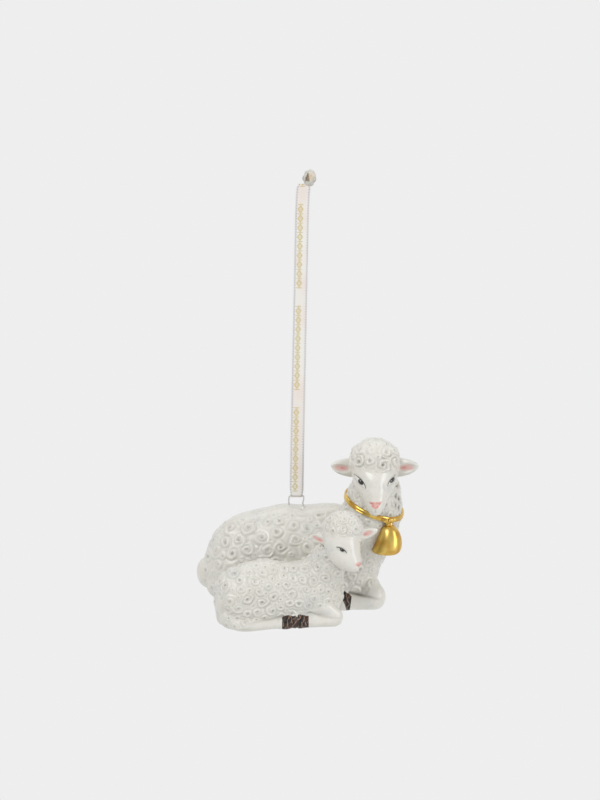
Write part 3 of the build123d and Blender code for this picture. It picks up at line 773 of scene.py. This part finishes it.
lamb = {
    "names": ("lamb_body", "lamb_tail", "lamb_foreleg", "lamb_hindleg", "lamb_fore_hoof", "lamb_hind_hoof"),
    "voxel": 0.27,
    "plugs": (((-6, -30.5, 2.8), 2.8), ((14.0, -29.5, 26.0), 4.2), ((17.0, -30.5, 30.0), 4.6)),
    # the haunch's foot, which joins tail and leg, and what joins the two hoofs
    "fills": (((-27.5, -40.0, 4.4), (5.0, 4.2, 4.6)), ((-27.0, -35.0, 6.0), (4.7, 5.0, 5.4)),
              ((-0.3, -39.6, 3.4), (3.4, 2.4, 3.3))),
    "heel": -27.0,
    "hornFrom": -6.1,  # x of the painted hoofs' two ends
    "hornTo": 5.2,
    "hoofsMeet": 0.25,
    "curl": 3.9,
    "haunchCurl": 4.4,
    "woolEdge": ((-34, 1.6), (-24, 2.6), (-17.5, 4.9), (-11, 5.6), (-5.7, 6.6), (5.5, 6.8), (9.5, 9.7), (24, 9.9)),
    "hindCrease": ((-5.7, 6.2, 1.0), (-11.2, 5.2, 0.8), (-17.5, 4.6, 0.5), (-22.0, 3.6, 0.0)),
    "foreCrease": ((5.6, 7.2, 0.9), (9.0, 5.9, 0.8), (12.1, 5.0, 0.5), (18.5, 4.5, 0.2), (20.0, 4.4, 0.0)),
    "underCrease": ((-24.0, 1.3, 0.0), (-22.5, 1.6, 0.6), (-20.0, 1.5, 0.6), (-18.5, 1.2, 0.0)),
}


def makeLamb():
    form = borrow(*lamb["names"])
    for spot, radius in lamb["plugs"]:
        ball(form, spot, (radius, radius, radius))
    for spot, halves in lamb["fills"]:
        ball(form, spot, halves)
    skin = Skin(form, lamb["voxel"], lamb["names"])
    x, y, z = skin.spots.T
    heel = skin.belongs("lamb_hindleg") & (x < lamb["heel"])
    skin.spots[heel, 0] = lamb["heel"] + 0.45 * (x[heel] - lamb["heel"])
    skin.spots[:, 2] = np.maximum(z, 0.0)
    feet = skin.belongs(*lamb["names"][2:]) * 1.0
    skin.relax(40)
    x, y, z = skin.spots.T
    edge = np.interp(x, *np.array(lamb["woolEdge"]).T)
    allowed = (z > np.where(y < -20, edge, 1.5)) & ~skin.belongs("lamb_tail")
    spacing = lamb["curl"] + (lamb["haunchCurl"] - lamb["curl"]) * ramp(-x, 6, 20)
    top = 1 - 0.60 * ramp(skin.normals()[:, 2], 0.86, 0.975)
    strength = top * (1 - 0.30 * ramp(-x, 22, 31)) * ramp(z, 1.5, 3.0)
    woolly(skin, allowed, allowed, spacing, strength, lumpy=0.5)
    hind = crease(skin, lamb["hindCrease"], -28, 0.5)
    fore = crease(skin, lamb["foreCrease"], -28, 0.5)
    under = crease(skin, lamb["underCrease"], -28, 0.35)
    skin.push(-0.32 * hind - 0.34 * fore - 0.15 * under)
    # painted shade along the carved creases
    skin.notes["deep"] = 0.35 * hind + 0.40 * fore + 0.35 * under
    x, y, z = skin.spots.T
    between = bell(x - lamb["hoofsMeet"], 0.45)
    # the wool's scallops hang over the hoofs and dip where the two meet
    hanging = 6.5 + 0.35 * np.abs(np.sin(0.75 * x + 0.4)) - 0.9 * between
    painted = ramp(x - lamb["hornFrom"], -0.3, 0.3) * ramp(lamb["hornTo"] - x, -0.3, 0.3)
    skin.notes["horn"] = skin.spread(feet * painted, 1) * (1 - ramp(z, hanging - 0.2, hanging + 0.2))
    locks = np.sin(2.1 * (y + 0.25 * z)) * skin.spread(skin.belongs("lamb_tail") * 1.0, 3)
    skin.push(0.14 * locks - 0.35 * between * skin.notes["horn"])
    skin.piece("lamb_body", woolGlaze, "white_glaze")
    skin.piece("lamb_tail", woolGlaze, "white_glaze")
    for name in lamb["names"][2:4]:
        skin.piece(name, skinGlaze, "face_glaze")
    for name in lamb["names"][4:]:
        skin.piece(name, hornGlaze, "hoof_glaze")


lambHead = {
    "names": ("lamb_head", "lamb_ear_left", "lamb_ear_right"),
    "voxel": 0.20,
    "plug": ((19.5, -31.5, 33.5), (4.3, 4.3, 4.3)),
    "curl": 3.5,
    "fringe": ((10.5, 44.2), (12.9, 42.6), (16.5, 41.6), (20.4, 41.3), (24.0, 41.0), (26.5, 40.6), (28.5, 41.2)),
    "eyes": (
        {"at": (18.95, 36.0), "turn": -27, "long": 2.55, "high": 0.62, "iris": (0.15, 0.18),
         "irisHalf": (1.05, 0.62), "lash": 0.30, "lidHigh": 0.55},
    ),
    "front": -33.5,
    "noseFront": -41.4,
    "noseTop": 30.6,
    "noseLow": 28.9,
    "noseMiddle": 26.4,
    "noseHalf": 1.5,
    "ears": (
        {"at": (9.4, 37.3), "half": (3.0, 0.95), "turn": -12, "deep": (9.8, 37.2)},
        {"at": (30.0, 40.8), "half": (2.3, 1.15), "turn": 16, "deep": (29.4, 40.5)},
    ),
}


def makeLambHead():
    form = borrow(*lambHead["names"])
    ball(form, *lambHead["plug"])
    skin = Skin(form, lambHead["voxel"], lambHead["names"])
    skin.relax(40)
    x, y, z = skin.spots.T
    head = skin.belongs("lamb_head")
    change = eyeRelief(skin, lambHead["eyes"][0], lambHead["front"])
    middle, lowest = lambHead["noseMiddle"], lambHead["noseLow"]
    lips = bell(z - 27.6 - 0.10 * (x - middle), 0.26) * (1 - ramp(np.abs(x - middle), 1.6, 3.0))
    change = change - 0.20 * lips * (y < -37)
    skin.push(skin.spread(change, 1))
    cupEars(skin, lambHead["ears"], skin.belongs("lamb_ear_left", "lamb_ear_right"), 0.8)
    x, y, z = skin.spots.T
    fringe = np.interp(x, *np.array(lambHead["fringe"]).T)
    behind = (y >= -30) & (z > 30)
    allowed = head & (((z > fringe + 1.2) & (y < -30)) | behind)
    within = head & (((z > fringe - 0.4) & (y < -30)) | behind)
    strength = 1 - 0.45 * ramp(z, 46.5, 49)
    woolly(skin, allowed, within, np.full(skin.count, lambHead["curl"]), strength, cover=0.3)
    skin.notes["deep"] = np.zeros(skin.count)
    material = headGlaze("lamb_head_glaze", lambHead)
    for name in lambHead["names"]:
        skin.piece(name, material, "face_glaze")


# Collar, knot and bell

gold = {
    "colour": rgb(226, 194, 108),
    "warm": rgb(204, 158, 72),
    "bellRoughness": 0.27,
    "collarRoughness": 0.10,
}


def lustre(name, roughness):
    # burnished gold over the glaze, brushed on a little unevenly
    recipe = Recipe(name, Metallic=1.0)
    place = recipe.uprightPlace()
    cloud = recipe.mottle(place, 0.22, 1.5)
    recipe.feed("Base Color", recipe.mix(recipe.soft(cloud, 0.38, 0.68), gold["colour"], gold["warm"]))
    recipe.feed("Roughness", roughness + 0.08 * recipe.mottle(place, 0.7, 2.0))
    recipe.bump(recipe.mottle(place, 0.35, 1.0), 0.10, 0.0003)
    return recipe.material


def centre(name):
    # the middle of a CAD piece on the upright figurine
    corners = [upright @ vert.co for vert in nodes[name].data.vertices]
    return sum(corners, Vector()) / len(corners)


def makeCollar():
    skin = Skin(borrow("collar"), 0.17)
    skin.relax(8)
    middle = skin.spots.mean(axis=0)
    across = np.linalg.svd(skin.spots[::7] - middle, full_matrices=False)[2][2]
    across *= np.sign(across[2])
    level = (skin.spots - middle) @ across
    skin.push(-0.20 * bell(level + 0.25, 0.20) + 0.12 * bell(level - 0.35, 0.45))  # a cord laid on a band
    skin.relax(1)
    settle(skin.mesh("collar"), "collar_lustre", lustre("collar_gold", gold["collarRoughness"]), "gold_lustre", "collar")


knotLook = {
    "lobes": (
        ((-1.70, -1.0, 0.25), (1.65, 1.00, 1.15), (0, 18, 0)),
        ((1.55, -1.0, 0.35), (1.40, 0.95, 0.95), (0, -26, 0)),
        ((-0.10, -1.5, 0.1), (0.60, 0.85, 1.55), (0, 35, 0)),
        ((0.0, -0.4, -1.6), (1.55, 1.0, 1.2), (0, 0, 0)),
    ),
}


def makeKnot():
    form = bmesh.new()
    middle = centre("collar_knot")
    for offset, halves, turn in knotLook["lobes"]:
        ball(form, middle + Vector(offset), halves, turn)
    skin = Skin(form, 0.11)
    skin.relax(5)
    settle(skin.mesh("knot"), "collar_knot_lustre", lustre("knot_gold", gold["collarRoughness"]), "gold_lustre", "collar_knot")


# The bell is modelled in relief, fuller on one side: radii at each depth below its crown
bellLook = {
    "depth": (0.0, 0.25, 0.9, 2.0, 4.0, 6.5, 9.0, 10.8, 11.8, 12.3, 12.5, 12.1, 11.4, 11.0),
    "left": (0.3, 1.4, 2.3, 3.0, 3.7, 4.6, 5.5, 6.15, 6.5, 6.55, 6.1, 5.6, 4.5, 0.0),
    "right": (0.3, 1.5, 2.9, 4.1, 5.3, 6.1, 6.35, 6.1, 5.5, 4.9, 4.3, 3.9, 3.2, 0.0),
    "steps": 96,
    "drop": 1.75,  # of its crown below the knot's middle
    "lean": 4,
}


def makeBell():
    form = bmesh.new()
    steps = bellLook["steps"]
    rings = []
    for depth, left, right in zip(bellLook["depth"], bellLook["left"], bellLook["right"]):
        ring = []
        for step in range(steps):
            angle = math.tau * step / steps
            share = 0.5 + 0.5 * math.cos(angle)
            radius = left + (right - left) * share
            ring.append(form.verts.new((radius * math.cos(angle), radius * math.sin(angle), -depth)))
        rings.append(ring)
    for high, low in zip(rings, rings[1:]):
        for step in range(steps):
            nextStep = (step + 1) % steps
            form.faces.new((high[step], low[step], low[nextStep], high[nextStep]))
    bmesh.ops.contextual_create(form, geom=rings[0])
    bmesh.ops.remove_doubles(form, verts=form.verts, dist=0.001)
    bmesh.ops.recalc_face_normals(form, faces=form.faces)
    place = Matrix.Translation(centre("collar_knot") - Vector((0.1, 0, bellLook["drop"])))
    place = place @ Matrix.Rotation(math.radians(bellLook["lean"]), 4, "Y")
    bmesh.ops.transform(form, matrix=place, verts=form.verts)
    mesh = bpy.data.meshes.new("bell")
    form.to_mesh(mesh)
    form.free()
    piece = settle(mesh, "bell_lustre", lustre("bell_gold", gold["bellRoughness"]), "gold_lustre", "bell")
    smoother = piece.modifiers.new("round", "SUBSURF")
    smoother.levels = smoother.render_levels = 1


# Wire loop and ribbon

wireLook = {
    "thick": 0.54,
    "top": 47.8,
    "forward": -2.2,
    # x, lean back and height below the crown
    "bends": ((-3.0, 4.6, -8.0), (-3.0, 3.9, -6.4), (-3.15, 3.0, -4.8), (-3.45, 1.6, -3.0), (-3.3, 0.5, -1.5),
              (-3.2, 0.05, -0.35), (-2.95, 0.0, 0.0), (-1.5, 0.0, 0.0), (1.5, 0.0, 0.0), (2.95, 0.0, 0.0),
              (3.15, 0.05, -0.35), (3.15, 0.4, -1.1),
              (3.1, 1.2, -2.3), (2.7, 2.2, -3.7), (2.75, 3.0, -5.0), (3.0, 3.9, -6.4), (3.0, 4.6, -8.0)),
}


def silver():
    recipe = Recipe("silver_wire", Metallic=1.0)
    place = recipe.uprightPlace()
    recipe.feed("Base Color", recipe.mix(recipe.mottle(place, 1.5), rgb(212, 212, 215), rgb(232, 232, 234)))
    recipe.feed("Roughness", 0.30 + 0.12 * recipe.mottle(place, 4.0))
    return recipe.material


def makeWire():
    curve = bpy.data.curves.new("wire", "CURVE")
    curve.dimensions = "3D"
    curve.resolution_u = 8
    curve.bevel_depth = wireLook["thick"] / 2
    curve.bevel_resolution = 5
    curve.use_fill_caps = True
    spline = curve.splines.new("NURBS")
    spline.points.add(len(wireLook["bends"]) - 1)
    for point, (x, back, rise) in zip(spline.points, wireLook["bends"]):
        point.co = (x, wireLook["forward"] + back, wireLook["top"] + rise, 1)
    spline.order_u = 3
    spline.use_endpoint_u = True
    guide = bpy.data.objects.new("wire", curve)
    mesh = bpy.data.meshes.new_from_object(guide)
    bpy.data.objects.remove(guide)
    settle(mesh, "hanger_wire_drawn", silver(), "silver_wire", "hanger_wire")


ribbonLook = {
    "width": 6.0,
    "thick": 0.26,
    "drop": 138.0,
    "route": ((-5.6, 0.525, -138.0), (-5.6, 0.500, -134.0), (-4.95, 0.36, -100.0), (-4.1, 0.30, -60.0),
              (-3.45, 0.22, -28.0), (-3.0, 0.17, -6.0), (-2.2, 0.17, -3.0)),
    "steps": 90,
    "ivory": rgb(232, 230, 225),
    "blush": rgb(230, 221, 214),
    "edge": rgb(216, 215, 219),
    "knot": rgb(200, 199, 190),
    "gold": rgb(196, 178, 98),
    "motifStep": 4.0,
    "motifLeft": 0.7,  # of the middle
    "rowStart": 1.7,  # the lozenges come in rows, measured from the ribbon's foot
    "rowLength": 36.6,
    "rowStep": 44.0,
    "dotStep": 1.15,
}


def routeLine(side):
    # the smooth line that one strand follows, read from its own spline
    curve = bpy.data.curves.new("route", "CURVE")
    curve.dimensions = "3D"
    curve.resolution_u = 16
    spline = curve.splines.new("NURBS")
    points = [(x, side * y, z) for x, y, z in ribbonLook["route"]]
    spline.points.add(len(points) - 1)
    for point, place in zip(spline.points, points):
        point.co = (*[value * mm for value in place], 1)
    spline.order_u = 3
    spline.use_endpoint_u = True
    guide = bpy.data.objects.new("route", curve)
    line = bpy.data.meshes.new_from_object(guide)
    places = [vert.co.copy() for vert in line.vertices]
    bpy.data.objects.remove(guide)
    return places


def ribbonWeave(name):
    # satin with dotted selvedges and a row of small gold lozenges
    recipe = Recipe(name, Sheen_Weight=0.25, Sheen_Roughness=0.4)
    across, along, unused = recipe.parts(recipe.node("ShaderNodeUVMap", {"uv_map": "cloth"}))
    centre = abs(across - 0.5) * ribbonLook["width"]
    weft = ((along * (math.tau * 5.0)).wave() * 0.5 + 0.5)
    warp = ((across * (math.tau * 30.0)).wave() * 0.5 + 0.5)
    cloud = recipe.mottle(recipe.objectPlace(), 90.0, 2.0)
    toned = recipe.mix(recipe.soft(cloud, 0.35, 0.7), ribbonLook["ivory"], ribbonLook["blush"])
    edge = recipe.soft(centre, 1.95, 2.25)
    toned = recipe.mix(edge * 0.5, toned, ribbonLook["edge"])
    beat = (along * (math.tau / ribbonLook["dotStep"])).wave()
    dots = recipe.soft(beat, 0.1, 0.7) * (1 - recipe.soft(abs(centre - 2.45), 0.16, 0.36))
    toned = recipe.mix(dots * 0.8, toned, rgb(150, 149, 154))
    step = ribbonLook["motifStep"]
    turn = recipe.node("ShaderNodeMath", {"operation": "PINGPONG"}, {0: along, 1: step / 2})
    aside = abs((across - 0.5) * ribbonLook["width"] + ribbonLook["motifLeft"])
    near = turn * 0.72 + aside
    lozenge = (1 - recipe.soft(near, 1.22, 1.42)) * recipe.soft(near, 0.62, 0.82)
    heart = 1 - recipe.soft(near, 0.22, 0.42)
    bar = (1 - recipe.soft(abs(turn - step / 2), 0.10, 0.24)) * (1 - recipe.soft(aside, 1.1, 1.3))
    place = recipe.node("ShaderNodeMath", {"operation": "FLOORED_MODULO"}, {
        0: along - ribbonLook["rowStart"],
        1: ribbonLook["rowStep"],
    })
    motif = lozenge.most(heart).most(bar) * (1 - recipe.soft(place, ribbonLook["rowLength"], ribbonLook["rowLength"] + 0.2))
    toned = recipe.mix(motif * 0.85, toned, ribbonLook["gold"])
    recipe.feed("Base Color", toned)
    recipe.feed("Roughness", 0.55 - motif * 0.2)
    recipe.bump(weft * 0.6 + warp * 0.4 + dots * 0.6, 0.35, 0.00008)
    return recipe.material


def makeStrand(side, name, node):
    line = routeLine(side)
    form = bmesh.new()
    uv = form.loops.layers.uv.new("cloth")
    half, thick = ribbonLook["width"] / 2 * mm, ribbonLook["thick"] / 2 * mm
    shares = [-1, -0.72, -0.4, 0, 0.4, 0.72, 1]
    rows = []
    length = 0
    last = line[0]
    for place in line:
        length += (place - last).length
        last = place
        gather = ramp(np.array(-place.z / mm), 1.6, 5.0)
        foot = ramp(np.array(place.z / mm + ribbonLook["drop"]), 0.0, 3.0)
        width = half * (0.70 + 0.30 * float(gather)) * (0.885 + 0.115 * float(foot))
        row = []
        for share in shares:
            crease = 0.28 * (1 - float(gather)) * math.cos(share * 7.0) * mm
            curl = 0.05 * mm * math.sin(length / mm * 0.21 + 2.2 * share) * abs(share)
            for face in (-1, 1):
                bulge = thick * (1 - 0.55 * abs(share) ** 4)
                depth = place.y + face * bulge + (crease + curl) * side
                vert = form.verts.new((place.x + share * width, depth, place.z))
                row.append((vert, share, length / mm))
        rows.append(row)
    count = len(shares)
    for low, high in zip(rows, rows[1:]):
        ring = [k * 2 for k in range(count)] + [k * 2 + 1 for k in reversed(range(count))]
        for k in range(len(ring)):
            one, two = ring[k], ring[(k + 1) % len(ring)]
            corners = [low[one], low[two], high[two], high[one]]
            face = form.faces.new([corner[0] for corner in corners])
            for loop, corner in zip(face.loops, corners):
                loop[uv].uv = (corner[1] / 2 + 0.5, corner[2])
    bmesh.ops.holes_fill(form, edges=[edge for edge in form.edges if edge.is_boundary])
    bmesh.ops.recalc_face_normals(form, faces=form.faces)
    mesh = bpy.data.meshes.new(name)
    form.to_mesh(mesh)
    form.free()
    piece = finish(mesh, name, "ribbon", ribbonCloth, "ivory_ribbon", node)
    return piece, line


def plainWeave(name):
    recipe = Recipe(name, Sheen_Weight=0.2, Sheen_Roughness=0.4, Roughness=0.5)
    place = recipe.node("ShaderNodeMapping", None, {"Vector": recipe.objectPlace(), "Scale": (1 / mm, 1 / mm, 1 / mm)})
    x, y, z = recipe.parts(place)
    threads = ((z * (math.tau * 3.0)).wave() * 0.5 + (x * (math.tau * 3.0)).wave() * 0.5)
    cloud = recipe.mottle(place, 0.35, 3.0)
    toned = recipe.mix(recipe.soft(cloud, 0.40, 0.62) * 0.6, ribbonLook["knot"], ribbonLook["blush"])
    toned = recipe.mix(recipe.attribute("rim") * 0.8, toned, rgb(176, 174, 180))
    toned = recipe.mix(recipe.attribute("warm") * 0.75, toned, rgb(214, 190, 152))
    # painted shade in the knot's gap and notch
    toned = recipe.mix(recipe.attribute("low"), toned, rgb(104, 76, 40))
    recipe.feed("Base Color", toned)
    recipe.bump(threads, 0.3, 0.00008)
    return recipe.material


def makeFold():
    # the ribbon's turn under the wire's crown
    form = bmesh.new()
    inner, outer = 0.375, 0.665
    halfWidth = ribbonLook["width"] / 2 - 0.38
    start = [form.verts.new((crown.x / mm - halfWidth, radius, crown.z / mm)) for radius in (inner, outer)]
    edge = form.edges.new(start)
    bmesh.ops.spin(form, geom=start + [edge], cent=(0, 0, crown.z / mm), axis=(1, 0, 0), angle=-math.pi, steps=16)
    made = bmesh.ops.extrude_face_region(form, geom=form.faces[:])
    moved = [part for part in made["geom"] if isinstance(part, bmesh.types.BMVert)]
    bmesh.ops.translate(form, verts=moved, vec=(2 * halfWidth, 0, 0))
    bmesh.ops.remove_doubles(form, verts=form.verts, dist=0.0005)
    bmesh.ops.recalc_face_normals(form, faces=form.faces)
    bmesh.ops.scale(form, vec=(mm, mm, mm), verts=form.verts)
    mesh = bpy.data.meshes.new("fold")
    form.to_mesh(mesh)
    form.free()
    return finish(mesh, "ribbon_fold_cloth", "ribbon", plainCloth, "ivory_ribbon", "ribbon_fold")


tieLook = {
    "wraps": (
        ((0.0, 0.0, -0.4), (2.95, 2.4, 3.75), (0, 8, 0)),
        ((0.9, -0.5, 0.5), (1.95, 1.8, 2.4), (0, -32, 0)),
        ((-0.9, -0.5, -0.4), (1.85, 1.75, 2.7), (0, 14, 0)),
    ),
    # where a turn goes in: height, left and right edge
    "opening": ((-2.2, -2.4, 0.1), (-0.4, -1.9, 0.0), (1.7, -1.0, -0.55)),
}


def makeTie():
    # the knot: flat ribbon wound on itself; the gap where a turn goes in, and a notch, are sunk and darkened with warm
    # painted shade
    form = bmesh.new()
    for spot, halves, turn in tieLook["wraps"]:
        ball(form, spot, halves, turn)
    skin = Skin(form, 0.15)
    skin.relax(10)
    x, y, z = skin.spots.T
    fold = np.sin(2.2 * (0.62 * x + 0.78 * z) + 0.8 * y) + 0.6 * np.sin(3.6 * (0.6 * z - 0.8 * x) + 1.0)
    heights, lefts, rights = np.array(tieLook["opening"]).T
    gap = ramp(x - np.interp(z, heights, lefts), -0.15, 0.40) * ramp(np.interp(z, heights, rights) - x, -0.15, 0.35)
    gap = gap * ramp(z, heights[0] - 0.3, heights[0] + 0.3) * (1 - ramp(z, heights[-1] - 0.4, heights[-1] + 0.1)) * (y < 0)
    notch = bell(np.hypot(x - 2.55, z + 2.3), 0.55) * (y < 0.5)
    deepest = bell(np.hypot(x + 1.75, (z + 0.4) / 1.6), 0.75)
    skin.push(0.16 * fold - 0.55 * gap - 0.35 * notch)
    skin.relax(2)
    # painted shade in the gap, deepest at its inner corner, and in the notch
    skin.notes["low"] = np.maximum(gap * (0.70 + 0.30 * deepest), 0.6 * notch)
    skin.notes["warm"] = bell(np.hypot(x - 0.55, z / 1.4), 1.15) * (y < 0)
    skin.notes["rim"] = np.maximum(bell(x + 2.75, 0.55), 0.5 * bell(x - 2.9, 0.5)) * (y < 1)
    skin.spots *= mm
    return finish(skin.mesh("tie"), "ribbon_knot_cloth", "ribbon", plainCloth, "ivory_ribbon", "ribbon_knot")


# The whole object

woolGlaze = castingGlaze("wool_glaze", glaze["white"])
skinGlaze = castingGlaze("skin_glaze", glaze["face"])
hornGlaze = castingGlaze("horn_glaze", glaze["face"])
ribbonCloth = ribbonWeave("ribbon_weave")
plainCloth = plainWeave("ribbon_plain")

# The camera looks level along +Y, at the photograph's 0.43 mm to a pixel
view = {
    "place": (-4.1, -1208.7, -96.6),
    "distance": 1200.0,
    "seenHigh": 344.0,
}


def makeCamera():
    camera = bpy.data.cameras.new("camera")
    camera.sensor_width = 36
    camera.lens = 36 * view["distance"] / view["seenHigh"]
    eye = bpy.data.objects.new("camera", camera)
    eye.location = Vector(view["place"]) * mm
    eye.rotation_euler = (math.pi / 2, 0, 0)
    bpy.context.scene.collection.objects.link(eye)
    bpy.context.scene.camera = eye


makeCamera()
print("camera set")

tie = makeTie()
frontStrand, frontLine = makeStrand(-1, "ribbon_front_cloth", "ribbon_front")
backStrand, backLine = makeStrand(1, "ribbon_back_cloth", "ribbon_back")
fold = makeFold()
for strand, line, knotted in ((frontStrand, frontLine, [tie]), (backStrand, backLine, [])):
    length = sum((b - a).length for a, b in zip(line, line[1:]))
makeWire()
print("ribbon and wire made")

makeEwe()
makeEweHead()
print("ewe made")

makeLamb()
makeLambHead()
print("lamb made")

makeCollar()
makeKnot()
makeBell()
print("collar and bell made")


# Studio

studio = {
    "background": 0.855,
    "floorLow": -0.42,
    "wallBack": 0.85,
    "cove": 0.30,
    "reach": 9.0,
    "world": 0.60,
}


def backdropPaper(name, seenBy):
    recipe = Recipe(name, Roughness=0.9)
    recipe.feed("Base Color", (0.80, 0.80, 0.80, 1))
    path = recipe.tree.nodes.new("ShaderNodeLightPath")
    seen = Flow(recipe, path.outputs["Is Camera Ray"])
    for ray in seenBy:
        seen = seen.most(Flow(recipe, path.outputs[ray]))
    glow = recipe.node("ShaderNodeEmission", None, {"Color": (1, 1, 1, 1), "Strength": studio["background"]})
    plain = Flow(recipe, recipe.shader.outputs[0])
    mixed = recipe.node("ShaderNodeMixShader", None, {0: seen, 1: plain, 2: glow})
    recipe.tree.links.new(mixed.socket, recipe.tree.nodes["Material Output"].inputs["Surface"])
    return recipe.material


def makeStudio():
    form = bmesh.new()
    reach, low, back, cove = studio["reach"], studio["floorLow"], studio["wallBack"], studio["cove"]
    line = [(-reach, low), (back - cove, low)]
    for step in range(1, 12):
        angle = math.pi / 2 * step / 12
        line.append((back - cove + cove * math.sin(angle), low + cove - cove * math.cos(angle)))
    line += [(back, low + cove), (back, low + reach)]
    verts = [form.verts.new((-reach, y, z)) for y, z in line]
    edges = [form.edges.new(pair) for pair in zip(verts, verts[1:])]
    made = bmesh.ops.extrude_edge_only(form, edges=edges)
    moved = [part for part in made["geom"] if isinstance(part, bmesh.types.BMVert)]
    bmesh.ops.translate(form, verts=moved, vec=(2 * reach, 0, 0))
    bmesh.ops.recalc_face_normals(form, faces=form.faces)
    mesh = bpy.data.meshes.new("backdrop")
    form.to_mesh(mesh)
    form.free()
    mesh.materials.append(backdropPaper("backdrop_paper", ("Is Glossy Ray", "Is Transmission Ray")))
    mesh.polygons.foreach_set("use_smooth", [True] * len(mesh.polygons))
    paper = bpy.data.objects.new("backdrop", mesh)
    bpy.context.scene.collection.objects.link(paper)


def makeLamp(name, place, target, size, power):
    lamp = bpy.data.lights.new(name, "AREA")
    lamp.shape = "RECTANGLE"
    lamp.size, lamp.size_y = size
    lamp.energy = power
    holder = bpy.data.objects.new(name, lamp)
    holder.location = place
    holder.rotation_euler = (Vector(target) - Vector(place)).to_track_quat("-Z", "Y").to_euler()
    bpy.context.scene.collection.objects.link(holder)


def makeWorld():
    world = bpy.data.worlds.new("studio")
    world.use_nodes = True
    world.node_tree.nodes["Background"].inputs["Color"].default_value = (1, 1, 1, 1)
    world.node_tree.nodes["Background"].inputs["Strength"].default_value = studio["world"]
    bpy.context.scene.world = world


middle = (0.0, 0.0, -0.16)
makeStudio()
makeLamp("key", (-0.55, -0.75, 0.35), middle, (0.5, 0.6), 4.0)
makeLamp("side", (0.75, -0.45, -0.02), middle, (0.25, 0.8), 2.4)
makeLamp("top", (0.0, 0.05, 0.75), middle, (0.8, 0.6), 1.5)
makeWorld()
bpy.context.scene.view_settings.view_transform = "Standard"
print("studio made")
